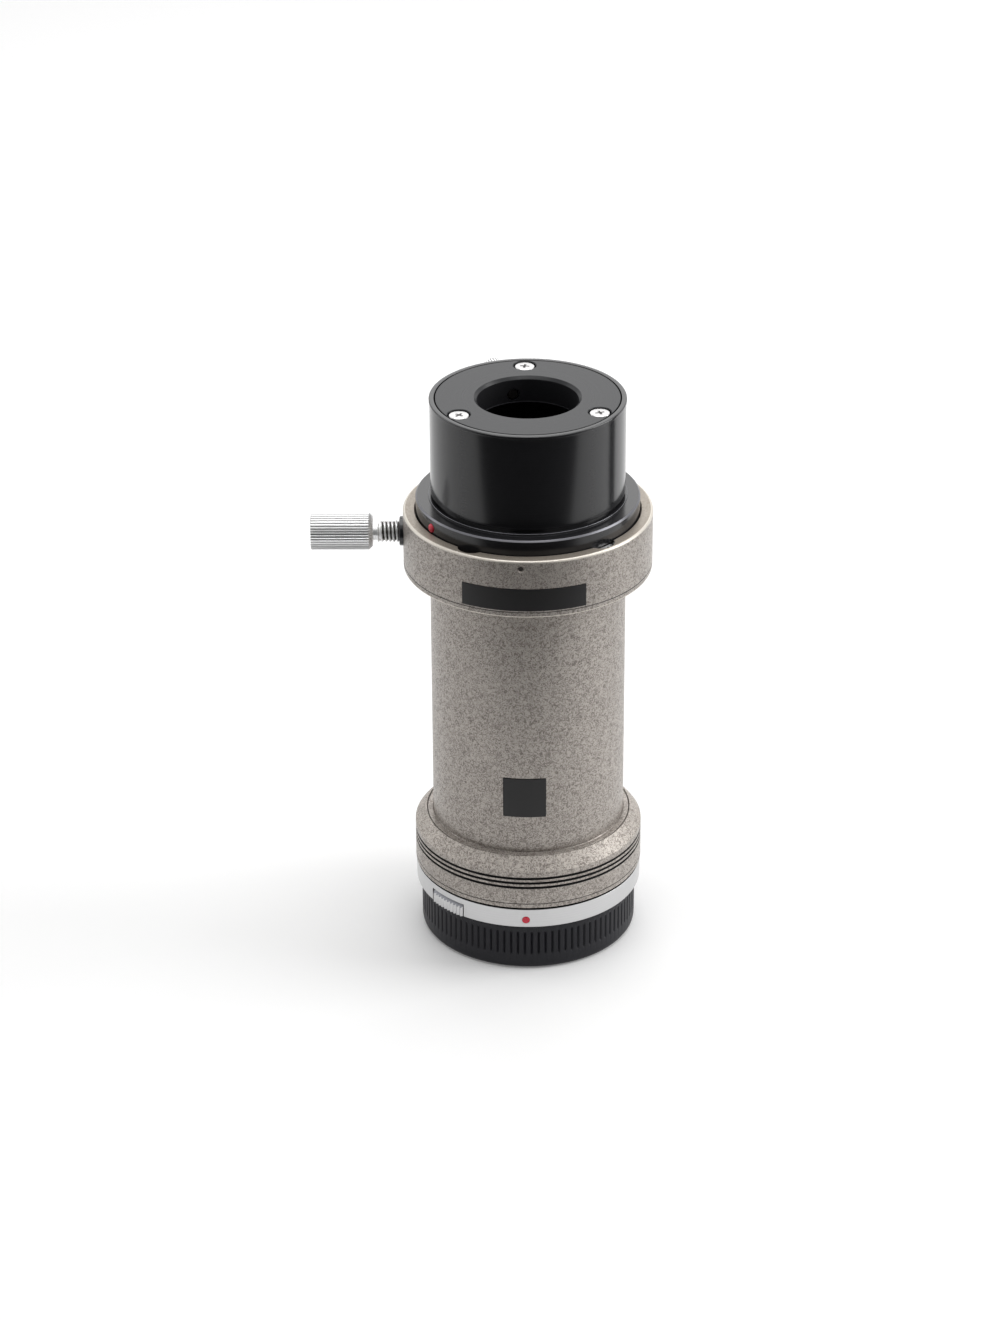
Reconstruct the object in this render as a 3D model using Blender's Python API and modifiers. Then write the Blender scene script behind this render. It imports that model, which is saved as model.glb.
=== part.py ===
"""A microscope camera adapter that stands on its ribbed rear cap, camera end down.

The adapter's axis is the Z axis, and its origin is the centre of the cap's flat underside.
An azimuth is counted in degrees from the front, -Y, towards the right, +X.
"""

import math

import bmesh
import bpy
from mathutils import Matrix, Vector

MM = 0.001

# Facets round a turned piece
RING_SEGMENTS = 36
SMALL_SEGMENTS = 16
SCREW_SEGMENTS = 10

# Gap that neighbouring pieces keep, at a seat and round a fit
SEAT = 0.3 * MM
# How far a cutter runs past the face that it opens
PAST = 1.0 * MM
# How far a piece that is joined to another sinks into it
ROOT = 0.5 * MM
# How far its other faces stay off a face that they would lie in
LAP = 0.1 * MM
# Edges that meet more sharply than this stay sharp in the shading
SHARP_ANGLE = 30.0

# Rear cap
CAP_HEIGHT = 13.4 * MM
CAP_WALL = 1.5 * MM
CAP_FLOOR = 1.8 * MM
CAP_EDGE_ROUND = 1.7 * MM
CAP_EDGE_STEPS = 2
CAP_CLAW_RING_WALL = 1.2 * MM
CAP_GROOVE_COUNT = 98
CAP_GROOVE_DEPTH = 0.45 * MM
CAP_GROOVE_LOW = 4.2 * MM
CAP_GROOVE_TOP_MARGIN = 1.9 * MM
CLAW_THICKNESS = 1.2 * MM
CLAW_HALF_ANGLE = 22.0
STOP_HALF_ANGLE = 1.5
STOP_END_ANGLE = 0.8

# Bayonet plate
BAYONET_RADIUS = 22.4 * MM
BAYONET_WALL = 2.0 * MM
BAYONET_FLANGE_REACH = 4.3 * MM
BAYONET_FLANGE_THICKNESS = 1.2 * MM
BAYONET_SPIGOT_STEP = 0.9 * MM
BAYONET_SPIGOT_HEIGHT = 1.5 * MM
LUG_COUNT = 3
LUG_REACH = 1.5 * MM
LUG_THICKNESS = 1.4 * MM
LUG_HALF_ANGLE = 22.5
LUG_AZIMUTH = 20.0
BAYONET_SCREW_AZIMUTHS = (0.0, 90.0, 180.0, 270.0)
BAYONET_SCREW_FROM_EDGE = 2.1 * MM
BAYONET_SCREW_LENGTH = 13.0 * MM

# Silver mount ring
MOUNT_RING_REACH = 3.15 * MM
MOUNT_RING_HEIGHT = 5.1 * MM

# Release button, its spring and the latch pin
BUTTON_AZIMUTH = -46.2
BUTTON_HALF_WIDTH = 5.7 * MM
BUTTON_HEIGHT = 3.3 * MM
BUTTON_DEPTH = 4.9 * MM
BUTTON_PROUD = 0.65 * MM
BUTTON_TOOTH_COUNT = 14
BUTTON_TOOTH_DEPTH = 0.3 * MM
BUTTON_TRAVEL = 1.5 * MM
SPRING_RADIUS = 1.05 * MM
SPRING_WIRE_RADIUS = 0.15 * MM
SPRING_TURNS = 3
SPRING_POINTS_PER_TURN = 8
BUTTON_BORE_DEPTH = 3.5 * MM
LATCH_RADIUS = 0.8 * MM
LATCH_REACH = 1.0 * MM
LATCH_TRAVEL = 1.2 * MM
LATCH_LENGTH = 3.6 * MM
LATCH_ACROSS = -4.8 * MM
LATCH_BEYOND_BAYONET = 0.6 * MM
LATCH_TIP_CHAMFER = 0.2 * MM

# Index beads
BEAD_RADIUS = 1.0 * MM
BEAD_DEPTH = 0.9 * MM
BEAD_PROUD = 0.15 * MM
BEAD_CROWN_RADIUS = 0.6 * MM
BEAD_CROWN_DROP = 0.05 * MM
CAMERA_BEAD_AZIMUTH = -1.2
CAMERA_BEAD_ABOVE_RING = 2.2 * MM
SCOPE_BEAD_AZIMUTH = -58.2
SCOPE_BEAD_BELOW_TOP = 2.6 * MM

# Painted base
BASE_PROUD = 0.15 * MM
LOWER_RING_HEIGHT = 1.5 * MM
LOWER_RING_BORE_STEP = 0.5 * MM
BASE_HEIGHT = 12.8 * MM
BASE_CONE_HEIGHT = 3.4 * MM
BASE_CONE_REACH = 2.8 * MM
BASE_LAND = 0.3 * MM
BASE_GROOVE_COUNT = 3
BASE_GROOVE_PITCH = 1.35 * MM
BASE_GROOVE_WIDTH = 0.75 * MM
BASE_GROOVE_DEPTH = 0.7 * MM
BASE_GROOVE_BELOW_CONE = 1.9 * MM

# Main tube
TUBE_WALL = 3.4 * MM
TUBE_LENGTH = 71.8 * MM
TUBE_SPIGOT_WALL = 1.0 * MM
TUBE_SPIGOT_LENGTH = 8.0 * MM
TUBE_FOOT_REACH = 1.4 * MM
TUBE_FOOT_THICKNESS = 3.2 * MM
TUBE_FLANGE_THICKNESS = 1.2 * MM
TUBE_HEAD_REACH = 3.3 * MM
TUBE_HEAD_HEIGHT = 3.7 * MM

# Clamp collar
COLLAR_SKIRT_WALL = 3.2 * MM
COLLAR_MOUTH_WALL = 3.0 * MM
COLLAR_HEIGHT = 14.1 * MM
COLLAR_EDGE = 0.35 * MM
COLLAR_MOUTH_DEPTH = 2.7 * MM
COLLAR_BORE_STEP = 0.8 * MM
SCALLOP_COUNT = 5
SCALLOP_AZIMUTH = -31.0
SCALLOP_RADIUS = 4.2 * MM
SCALLOP_FROM_MOUTH = 3.2 * MM
COLLAR_SCREW_LENGTH = 11.0 * MM
SET_SCREW_AZIMUTH = -3.3
SET_SCREW_RADIUS = 0.6 * MM
SET_SCREW_ABOVE_FLOOR = 1.1 * MM
SET_SCREW_SUNK = 0.4 * MM

# Thumb screw, its bush and the clamp pad
CLAMP_AZIMUTH = -90.0
CLAMP_BELOW_TOP = 6.7 * MM
THUMB_THREAD_RADIUS = 2.9 * MM
THUMB_NECK_RADIUS = 2.4 * MM
THUMB_NECK_LENGTH = 1.5 * MM
KNOB_STANDOFF = 7.7 * MM
KNOB_LENGTH = 15.9 * MM
KNOB_RADIUS = 4.8 * MM
KNOB_CHAMFER = 0.9 * MM
KNOB_RIDGE_COUNT = 44
KNOB_RIDGE_DEPTH = 0.25 * MM
BUSH_RADIUS = 3.8 * MM
BUSH_PROUD = 0.9 * MM
BUSH_LENGTH = 3.5 * MM
PAD_TIP_LENGTH = 1.3 * MM
PAD_LENGTH = 2.6 * MM
PAD_TIP_RADIUS = 0.7 * MM
PAD_CONE_REACH = 0.9 * MM
PAD_GROOVE_GAP = 0.4 * MM

# Bare plates on the collar and the tube
PLATE_STEPS = 10
PLATE_THICKNESS = 0.5 * MM
PLATE_RECESS = 0.6 * MM
UPPER_PLATE_AZIMUTH = -2.0
UPPER_PLATE_HALF_ANGLE = 29.0
UPPER_PLATE_HEIGHT = 6.0 * MM
UPPER_PLATE_BELOW_TOP = 10.7 * MM
LOWER_PLATE_AZIMUTH = -2.2
LOWER_PLATE_HALF_ANGLE = 12.7
LOWER_PLATE_HEIGHT = 11.3 * MM
LOWER_PLATE_ABOVE_BASE = 16.2 * MM

# Microscope mount: flange, sleeve and top plate
FLANGE_THICKNESS = 6.4 * MM
FLANGE_CHAMFER = 0.4 * MM
FLANGE_WALL = 2.8 * MM
FLANGE_LAND = 3.3 * MM
CLAMP_GROOVE_DEPTH = 1.1 * MM
CLAMP_GROOVE_FLOOR = 1.6 * MM
SPIGOT_LENGTH = 7.7 * MM
LIP_REACH = 0.55 * MM
LIP_HEIGHT = 0.35 * MM
NECK_STEP = 0.95 * MM
NECK_HEIGHT = 0.9 * MM
JOIN_HEIGHT = 5.0 * MM
SLEEVE_RIM_PROUD = 0.15 * MM
SLEEVE_RIM_WALL = 1.15 * MM
SLEEVE_RIM_HEIGHT = 0.8 * MM
SLEEVE_RIM_CHAMFER = 0.25 * MM
SLEEVE_LENGTH = 25.4 * MM
SLEEVE_WALL = 2.45 * MM
SHOULDER_REACH = 4.2 * MM
SHOULDER_HEIGHT = 3.9 * MM
TOP_PLATE_THICKNESS = 7.0 * MM
TOP_PLATE_BORE = 12.9 * MM
TOP_PLATE_CHAMFER = 0.75 * MM
PLATE_SCREW_COUNT = 3
PLATE_SCREW_AZIMUTH = 62.2
PLATE_SCREW_FROM_EDGE = 3.1 * MM
PLATE_SCREW_HEAD_RADIUS = 2.6 * MM
PLATE_SCREW_HEAD_HEIGHT = 1.5 * MM
PLATE_SCREW_EDGE = 0.25 * MM
PLATE_SCREW_RADIUS = 1.2 * MM
PLATE_SCREW_LENGTH = 7.6 * MM
PLATE_SCREW_BELOW_FACE = 0.2 * MM

# Small lock screw behind the sleeve, and its tip
LOCK_AZIMUTH = 196.7
LOCK_BELOW_TOP = 4.7 * MM
LOCK_RADIUS = 1.5 * MM
LOCK_NECK_RADIUS = 1.3 * MM
LOCK_NECK_LENGTH = 0.5 * MM
LOCK_CHAMFER = 0.4 * MM
LOCK_HEAD_RADIUS = 3.1 * MM
LOCK_HEAD_LENGTH = 4.1 * MM
LOCK_STANDOFF = 1.9 * MM
LOCK_RIDGE_COUNT = 22
LOCK_PAD_LENGTH = 1.5 * MM
LOCK_PAD_FROM_BORE = 0.2 * MM

# Countersunk screws: head radius, shank radius and the depth of the cone
M2_SCREW = (1.6 * MM, 0.9 * MM, 0.7 * MM)
M3_SCREW = (2.7 * MM, 1.4 * MM, 1.3 * MM)
HEAD_EDGE = 0.2 * MM
SCREW_POINT = 0.4 * MM
SLOT_WIDTH = 0.3
SLOT_DEPTH = 0.5 * MM
CROSS_REACH = 0.62
CROSS_WIDTH = 0.2
CROSS_TAPER = 0.8
CROSS_DEPTH = 0.7 * MM

# Heights that follow from the sizes above, bottom to top
RING_BOTTOM = CAP_HEIGHT + SEAT
BAYONET_FLANGE_BOTTOM = CAP_HEIGHT - BAYONET_FLANGE_THICKNESS
CLAW_TOP = BAYONET_FLANGE_BOTTOM - LATCH_REACH - SEAT
CLAW_BOTTOM = CLAW_TOP - CLAW_THICKNESS
LUG_TOP = CLAW_BOTTOM - SEAT
LUG_BOTTOM = LUG_TOP - LUG_THICKNESS
RING_TOP = RING_BOTTOM + MOUNT_RING_HEIGHT
LOWER_RING_BOTTOM = RING_TOP + SEAT
LOWER_RING_TOP = LOWER_RING_BOTTOM + LOWER_RING_HEIGHT
BASE_BOTTOM = LOWER_RING_TOP + SEAT
BASE_TOP = BASE_BOTTOM + BASE_HEIGHT
CONE_BOTTOM = BASE_TOP - BASE_CONE_HEIGHT
TUBE_FOOT_BOTTOM = BASE_TOP - TUBE_FOOT_THICKNESS
BASE_SEAT = TUBE_FOOT_BOTTOM - SEAT
TUBE_BOTTOM = TUBE_FOOT_BOTTOM - TUBE_SPIGOT_LENGTH
FLANGE_UNDERSIDE = BASE_TOP + TUBE_LENGTH
TUBE_FLANGE_TOP = FLANGE_UNDERSIDE + TUBE_FLANGE_THICKNESS
TUBE_TOP = TUBE_FLANGE_TOP + TUBE_HEAD_HEIGHT
COLLAR_BOTTOM = TUBE_FLANGE_TOP + SEAT
COLLAR_TOP = COLLAR_BOTTOM + COLLAR_HEIGHT
COLLAR_WEB_BOTTOM = TUBE_TOP + SEAT
COLLAR_FLOOR = COLLAR_TOP - COLLAR_MOUTH_DEPTH
MOUNT_BOTTOM = COLLAR_FLOOR + SEAT
MOUNT_TOP = MOUNT_BOTTOM + FLANGE_THICKNESS
NECK_TOP = MOUNT_TOP + NECK_HEIGHT
SLEEVE_BOTTOM = NECK_TOP + SEAT
SLEEVE_TOP = SLEEVE_BOTTOM + SLEEVE_LENGTH
TOP_PLATE_BOTTOM = SLEEVE_TOP - TOP_PLATE_THICKNESS
SHOULDER_TOP = TOP_PLATE_BOTTOM - SEAT
SHOULDER_BOTTOM = SHOULDER_TOP - SHOULDER_HEIGHT
CLAMP_HEIGHT = COLLAR_TOP - CLAMP_BELOW_TOP
LOCK_HEIGHT = SLEEVE_TOP - LOCK_BELOW_TOP
SET_SCREW_HEIGHT = COLLAR_FLOOR + SET_SCREW_ABOVE_FLOOR
CAMERA_BEAD_HEIGHT = RING_BOTTOM + CAMERA_BEAD_ABOVE_RING
SCOPE_BEAD_HEIGHT = MOUNT_TOP - SCOPE_BEAD_BELOW_TOP

# Radii that follow from the bayonet's, from the camera end to the microscope end
BAYONET_FLANGE_RADIUS = BAYONET_RADIUS + BAYONET_FLANGE_REACH
BAYONET_SPIGOT_RADIUS = BAYONET_RADIUS - BAYONET_SPIGOT_STEP
BAYONET_SCREW_CIRCLE = BAYONET_FLANGE_RADIUS - BAYONET_SCREW_FROM_EDGE
LATCH_OUT = BAYONET_RADIUS + LATCH_BEYOND_BAYONET
LUG_RADIUS = BAYONET_RADIUS + LUG_REACH
CLAW_RING_RADIUS = LUG_RADIUS + SEAT
CLAW_INNER_RADIUS = BAYONET_RADIUS + SEAT
CAP_RADIUS = BAYONET_FLANGE_RADIUS + SEAT + CAP_WALL
MOUNT_RING_RADIUS = BAYONET_FLANGE_RADIUS + MOUNT_RING_REACH
BUTTON_OUTER = MOUNT_RING_RADIUS + BUTTON_PROUD
BUTTON_INNER = BUTTON_OUTER - BUTTON_DEPTH
LOWER_RING_BORE = BAYONET_SPIGOT_RADIUS + LOWER_RING_BORE_STEP
BASE_RADIUS = MOUNT_RING_RADIUS + BASE_PROUD
BASE_CONE_TOP_RADIUS = BASE_RADIUS - BASE_CONE_REACH
TUBE_FOOT_RADIUS = BASE_CONE_TOP_RADIUS - BASE_LAND - SEAT
TUBE_RADIUS = TUBE_FOOT_RADIUS - TUBE_FOOT_REACH
TUBE_BORE = TUBE_RADIUS - TUBE_WALL
TUBE_SPIGOT_RADIUS = TUBE_BORE + TUBE_SPIGOT_WALL
TUBE_HEAD_RADIUS = TUBE_RADIUS + TUBE_HEAD_REACH
COLLAR_RADIUS = TUBE_HEAD_RADIUS + SEAT + COLLAR_SKIRT_WALL
COLLAR_BORE = TUBE_BORE + COLLAR_BORE_STEP
MOUTH_RADIUS = COLLAR_RADIUS - COLLAR_MOUTH_WALL
SCALLOP_CIRCLE = MOUTH_RADIUS - SCALLOP_FROM_MOUTH
KNOB_START = COLLAR_RADIUS + KNOB_STANDOFF
FLANGE_RADIUS = MOUTH_RADIUS - SEAT
SPIGOT_RADIUS = COLLAR_BORE - SEAT
FLANGE_BORE = SPIGOT_RADIUS - FLANGE_WALL
LIP_RADIUS = FLANGE_RADIUS - FLANGE_LAND
SLEEVE_RADIUS = LIP_RADIUS - LIP_REACH
NECK_RADIUS = SLEEVE_RADIUS - NECK_STEP
SLEEVE_RIM_RADIUS = SLEEVE_RADIUS + SLEEVE_RIM_PROUD
SLEEVE_BORE = SLEEVE_RADIUS - SLEEVE_WALL
SHOULDER_BORE = SLEEVE_BORE - SHOULDER_REACH
TOP_PLATE_RADIUS = SLEEVE_RADIUS - SLEEVE_RIM_WALL - SEAT
PLATE_SCREW_CIRCLE = TOP_PLATE_RADIUS - PLATE_SCREW_FROM_EDGE
LOCK_HEAD_OUT = SLEEVE_RIM_RADIUS + LOCK_STANDOFF


def direction(azimuth):
    """Give the level direction that an azimuth points in."""
    angle = math.radians(azimuth)
    return Vector((math.sin(angle), -math.cos(angle), 0.0))


def clear_scene():
    """Remove what the file holds before the adapter is built."""
    for obj in list(bpy.data.objects):
        bpy.data.objects.remove(obj, do_unlink=True)


def new_collection(name):
    """Make a collection and link it to the scene."""
    collection = bpy.data.collections.new(name)
    bpy.context.scene.collection.children.link(collection)
    return collection


def finish(name, colour, roughness, metallic):
    """Make a plain material."""
    material = bpy.data.materials.new(name)
    material.use_nodes = True
    shader = material.node_tree.nodes["Principled BSDF"]
    shader.inputs["Base Color"].default_value = (*colour, 1.0)
    shader.inputs["Roughness"].default_value = roughness
    shader.inputs["Metallic"].default_value = metallic
    return material


class Workshop:
    """Holds the collections and the materials, and makes the basic solids."""

    def __init__(self):
        self.parts = new_collection("microscope_camera_adapter")
        self.cutters = new_collection("cutters")
        self.materials = {
            "hammertone": finish("hammertone_enamel", (0.19, 0.175, 0.165), 0.5, 0.3),
            "anodised": finish("black_anodised_aluminium", (0.012, 0.012, 0.014), 0.35, 0.4),
            "aluminium": finish("satin_aluminium", (0.72, 0.72, 0.73), 0.4, 1.0),
            "steel": finish("nickel_plated_steel", (0.6, 0.6, 0.6), 0.3, 1.0),
            "chrome": finish("chromed_brass", (0.66, 0.66, 0.68), 0.2, 1.0),
            "brass": finish("brass", (0.6, 0.42, 0.15), 0.35, 1.0),
            "plastic": finish("black_moulded_plastic", (0.025, 0.025, 0.028), 0.55, 0.0),
            "plate": finish("black_plate", (0.02, 0.02, 0.021), 0.4, 0.0),
            "red": finish("red_enamel", (0.7, 0.02, 0.05), 0.4, 0.0),
        }

    def turned(self, name, profile, segments, ring=True):
        """Turn a profile of (radius, height) points about local Z.

        The points run down the outer side. A ring's profile is closed, and a solid one starts and
        ends on the axis.
        """
        edges = [(i, i + 1) for i in range(len(profile) - 1)]
        if ring:
            edges.append((len(profile) - 1, 0))
        mesh = bpy.data.meshes.new(name)
        mesh.from_pydata([(radius, 0.0, height) for radius, height in profile], edges, [])
        obj = bpy.data.objects.new(name, mesh)
        self.cutters.objects.link(obj)
        screw = obj.modifiers.new("Turn", "SCREW")
        screw.axis = "Z"
        screw.steps = segments
        screw.render_steps = segments
        screw.use_merge_vertices = True
        screw.merge_threshold = 0.00001
        return obj

    def prism(self, name, outline, low, high):
        """Raise a flat outline of (x, y) points from one height to another."""
        curve = bpy.data.curves.new(name, "CURVE")
        curve.dimensions = "2D"
        curve.fill_mode = "BOTH"
        curve.extrude = (high - low) / 2
        spline = curve.splines.new("POLY")
        spline.points.add(len(outline) - 1)
        for point, (x, y) in zip(spline.points, outline):
            point.co = (x, y, 0.0, 1.0)
        spline.use_cyclic_u = True
        source = bpy.data.objects.new(name + "_outline", curve)
        source.location = (0.0, 0.0, (low + high) / 2)
        self.cutters.objects.link(source)
        bpy.context.view_layer.update()
        obj = self.as_mesh(source, name)
        bpy.data.objects.remove(source, do_unlink=True)
        return obj

    def as_mesh(self, source, name):
        """Make a closed mesh object from a curve object."""
        graph = bpy.context.evaluated_depsgraph_get()
        mesh = bpy.data.meshes.new_from_object(source.evaluated_get(graph))
        body = bmesh.new()
        body.from_mesh(mesh)
        bmesh.ops.remove_doubles(body, verts=body.verts, dist=0.000001)
        bmesh.ops.recalc_face_normals(body, faces=body.faces)
        body.to_mesh(mesh)
        body.free()
        mesh.materials.clear()
        obj = bpy.data.objects.new(name, mesh)
        obj.matrix_world = source.matrix_world
        self.cutters.objects.link(obj)
        return obj

    def block(self, name, size):
        """Make a box round the origin."""
        mesh = bpy.data.meshes.new(name)
        body = bmesh.new()
        bmesh.ops.create_cube(body, size=1.0, matrix=Matrix.Diagonal((*size, 1.0)))
        body.to_mesh(mesh)
        body.free()
        obj = bpy.data.objects.new(name, mesh)
        self.cutters.objects.link(obj)
        return obj

    def cylinder(self, name, radius, low, high, segments=SCREW_SEGMENTS):
        """Make a plain cylinder along local Z."""
        mesh = bpy.data.meshes.new(name)
        body = bmesh.new()
        middle = Matrix.Translation((0.0, 0.0, (low + high) / 2))
        bmesh.ops.create_cone(body, cap_ends=True, segments=segments, radius1=radius, radius2=radius,
                              depth=high - low, matrix=middle)
        body.to_mesh(mesh)
        body.free()
        obj = bpy.data.objects.new(name, mesh)
        self.cutters.objects.link(obj)
        return obj

    def boolean(self, obj, other, operation):
        """Add a Boolean to an object, and keep the other one out of the render."""
        modifier = obj.modifiers.new(operation.title(), "BOOLEAN")
        modifier.operation = operation
        modifier.solver = "EXACT"
        modifier.object = other
        other.display_type = "WIRE"
        other.hide_render = True

    def cut(self, obj, *others):
        """Cut other solids out of an object."""
        for other in others:
            self.boolean(obj, other, "DIFFERENCE")

    def join(self, obj, *others):
        """Join other solids to an object."""
        for other in others:
            self.boolean(obj, other, "UNION")

    def keep(self, obj, material):
        """Settle an object's modifiers, shade it smooth and move it among the parts."""
        bpy.context.view_layer.update()
        graph = bpy.context.evaluated_depsgraph_get()
        mesh = bpy.data.meshes.new_from_object(obj.evaluated_get(graph))
        mesh.name = obj.name
        obj.modifiers.clear()
        obj.data = mesh
        mesh.materials.clear()
        mesh.materials.append(self.materials[material])
        mesh.shade_smooth()
        mesh.set_sharp_from_angle(angle=math.radians(SHARP_ANGLE))
        self.cutters.objects.unlink(obj)
        self.parts.objects.link(obj)
        return obj


def place_radial(obj, azimuth, height):
    """Lay local Z along an azimuth, so that it measures the distance from the adapter's axis."""
    obj.rotation_euler = (math.pi / 2, 0.0, math.radians(azimuth))
    obj.location = (0.0, 0.0, height)
    return obj


def place_upright(obj, azimuth, distance, height):
    """Stand an object at an azimuth and a distance, with local Z up and local -Y outwards."""
    obj.rotation_euler = (0.0, 0.0, math.radians(azimuth))
    obj.location = direction(azimuth) * distance + Vector((0.0, 0.0, height))
    return obj


def sector(inner, outer, azimuth, half_angle, steps=4):
    """Outline a sector of a ring in plan, as (x, y) points."""
    angles = [azimuth - half_angle + 2 * half_angle * i / steps for i in range(steps + 1)]
    outside = [(outer * direction(angle)).to_2d() for angle in angles]
    inside = [(inner * direction(angle)).to_2d() for angle in reversed(angles)]
    return [tuple(point) for point in outside + inside]


def cross_outline(reach, width):
    """Outline a plus sign round the origin, with arms that narrow outwards as in a cross recess."""
    end = width * CROSS_TAPER
    quarter = [(reach, -end), (reach, end), (width, width)]
    points = []
    for turn in range(4):
        angle = turn * math.pi / 2
        cosine, sine = round(math.cos(angle)), round(math.sin(angle))
        points += [(x * cosine - y * sine, x * sine + y * cosine) for x, y in quarter]
    return points


def ridged_outline(radius, depth, count):
    """Outline a circle with straight ridges round it."""
    points = []
    for step in range(count):
        for part, reach in ((0.2, radius - depth), (0.7, radius)):
            angle = 2 * math.pi * (step + part) / count
            points.append((reach * math.cos(angle), reach * math.sin(angle)))
    return points


def countersunk(shop, name, sizes, length):
    """Make a slotted countersunk screw whose flat head faces local +Z, at the origin."""
    head, shank, cone = sizes
    profile = [(0.0, 0.0), (head, 0.0), (head, -HEAD_EDGE), (shank, -HEAD_EDGE - cone),
               (shank, -length), (0.0, -length)]
    screw = shop.turned(name, profile, SCREW_SEGMENTS, ring=False)
    width = head * SLOT_WIDTH
    slot = shop.block(name + "_slot", (2 * head + PAST, width, 2 * SLOT_DEPTH))
    slot.parent = screw
    shop.cut(screw, slot)
    return screw


def countersunk_hole(shop, name, sizes, length):
    """Make the cutter for a countersunk screw, a seat's gap larger all round."""
    head, shank, cone = sizes
    profile = [(0.0, PAST), (head + SEAT, PAST), (head + SEAT, -HEAD_EDGE - SEAT),
               (shank + SEAT, -HEAD_EDGE - cone - SEAT), (shank + SEAT, -length - SEAT),
               (0.0, -length - SEAT)]
    return shop.turned(name, profile, SCREW_SEGMENTS, ring=False)


def build_rear_cap(shop):
    """Build the ribbed cap with its claw ring, claws and stop."""
    outer, inner = CAP_RADIUS, CAP_RADIUS - CAP_WALL
    ring_outer = CLAW_RING_RADIUS + CAP_CLAW_RING_WALL
    rounded = []
    for step in range(CAP_EDGE_STEPS + 1):
        angle = math.pi / 2 * step / CAP_EDGE_STEPS
        rounded.append((outer - CAP_EDGE_ROUND * (1 - math.cos(angle)),
                        CAP_EDGE_ROUND * (1 - math.sin(angle))))
    profile = [(0.0, CAP_FLOOR), (CLAW_RING_RADIUS, CAP_FLOOR), (CLAW_RING_RADIUS, CLAW_TOP),
               (ring_outer, CLAW_TOP), (ring_outer, CAP_FLOOR), (inner, CAP_FLOOR),
               (inner, CAP_HEIGHT), (outer, CAP_HEIGHT)]
    cap = shop.turned("rear_cap", profile + rounded + [(0.0, 0.0)], CAP_GROOVE_COUNT // 2, ring=False)

    for number in range(LUG_COUNT):
        azimuth = LUG_AZIMUTH + 360.0 * number / LUG_COUNT
        outline = sector(CLAW_INNER_RADIUS, CLAW_RING_RADIUS + ROOT, azimuth, CLAW_HALF_ANGLE)
        shop.join(cap, shop.prism(f"claw_{number}", outline, CLAW_BOTTOM, CLAW_TOP - LAP))
    stop_azimuth = LUG_AZIMUTH + LUG_HALF_ANGLE + STOP_END_ANGLE + STOP_HALF_ANGLE
    outline = sector(CLAW_INNER_RADIUS, CLAW_RING_RADIUS + ROOT, stop_azimuth, STOP_HALF_ANGLE, steps=1)
    shop.join(cap, shop.prism("twist_stop", outline, CAP_FLOOR - ROOT, CLAW_TOP - ROOT))

    low, high = CAP_GROOVE_LOW, CAP_HEIGHT - CAP_GROOVE_TOP_MARGIN
    mesh = bpy.data.meshes.new("cap_grooves")
    body = bmesh.new()
    # Each groove is cut by one edge of a square bar.
    side = CAP_GROOVE_DEPTH * math.sqrt(2)
    bar = Matrix.Rotation(math.pi / 4, 4, "Z") @ Matrix.Diagonal((side, side, high - low, 1.0))
    for step in range(CAP_GROOVE_COUNT):
        turn = Matrix.Rotation(2 * math.pi * (step + 0.5) / CAP_GROOVE_COUNT, 4, "Z")
        place = turn @ Matrix.Translation((0.0, -outer, (low + high) / 2)) @ bar
        bmesh.ops.create_cube(body, size=1.0, matrix=place)
    body.to_mesh(mesh)
    body.free()
    grooves = bpy.data.objects.new("cap_grooves", mesh)
    shop.cutters.objects.link(grooves)
    shop.cut(cap, grooves)
    return shop.keep(cap, "plastic")


def button_frame(out, across):
    """Turn a place in the button's own frame, outwards and across, into plan coordinates."""
    outwards = direction(BUTTON_AZIMUTH)
    sideways = direction(BUTTON_AZIMUTH + 90.0)
    return outwards * out + sideways * across


def latch_place():
    """Give the latch pin's place in plan."""
    return button_frame(LATCH_OUT, LATCH_ACROSS)


def build_bayonet(shop):
    """Build the lugged camera mount and its screws."""
    inner = BAYONET_RADIUS - BAYONET_WALL
    spigot_top = CAP_HEIGHT + BAYONET_SPIGOT_HEIGHT
    profile = [(inner, LUG_BOTTOM), (inner, spigot_top), (BAYONET_SPIGOT_RADIUS, spigot_top),
               (BAYONET_SPIGOT_RADIUS, CAP_HEIGHT), (BAYONET_FLANGE_RADIUS, CAP_HEIGHT),
               (BAYONET_FLANGE_RADIUS, BAYONET_FLANGE_BOTTOM),
               (BAYONET_RADIUS, BAYONET_FLANGE_BOTTOM), (BAYONET_RADIUS, LUG_BOTTOM)]
    plate = shop.turned("bayonet_plate", profile, RING_SEGMENTS)
    for number in range(LUG_COUNT):
        azimuth = LUG_AZIMUTH + 360.0 * number / LUG_COUNT
        outline = sector(BAYONET_RADIUS - ROOT, LUG_RADIUS, azimuth, LUG_HALF_ANGLE)
        shop.join(plate, shop.prism(f"lug_{number}", outline, LUG_BOTTOM + LAP, LUG_TOP))
    for number, azimuth in enumerate(BAYONET_SCREW_AZIMUTHS, start=1):
        hole = countersunk_hole(shop, f"bayonet_screw_hole_{number}", M2_SCREW, BAYONET_SCREW_LENGTH)
        shop.cut(plate, place_downward(hole, azimuth, BAYONET_SCREW_CIRCLE, BAYONET_FLANGE_BOTTOM))
        screw = countersunk(shop, f"bayonet_screw_{number}", M2_SCREW, BAYONET_SCREW_LENGTH)
        place_downward(screw, azimuth, BAYONET_SCREW_CIRCLE, BAYONET_FLANGE_BOTTOM)
        shop.keep(screw, "steel")
    passage = shop.cylinder("latch_passage", LATCH_RADIUS + SEAT, BAYONET_FLANGE_BOTTOM - PAST,
                            CAP_HEIGHT + PAST)
    passage.location = latch_place()
    shop.cut(plate, passage)
    return shop.keep(plate, "chrome")


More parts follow.
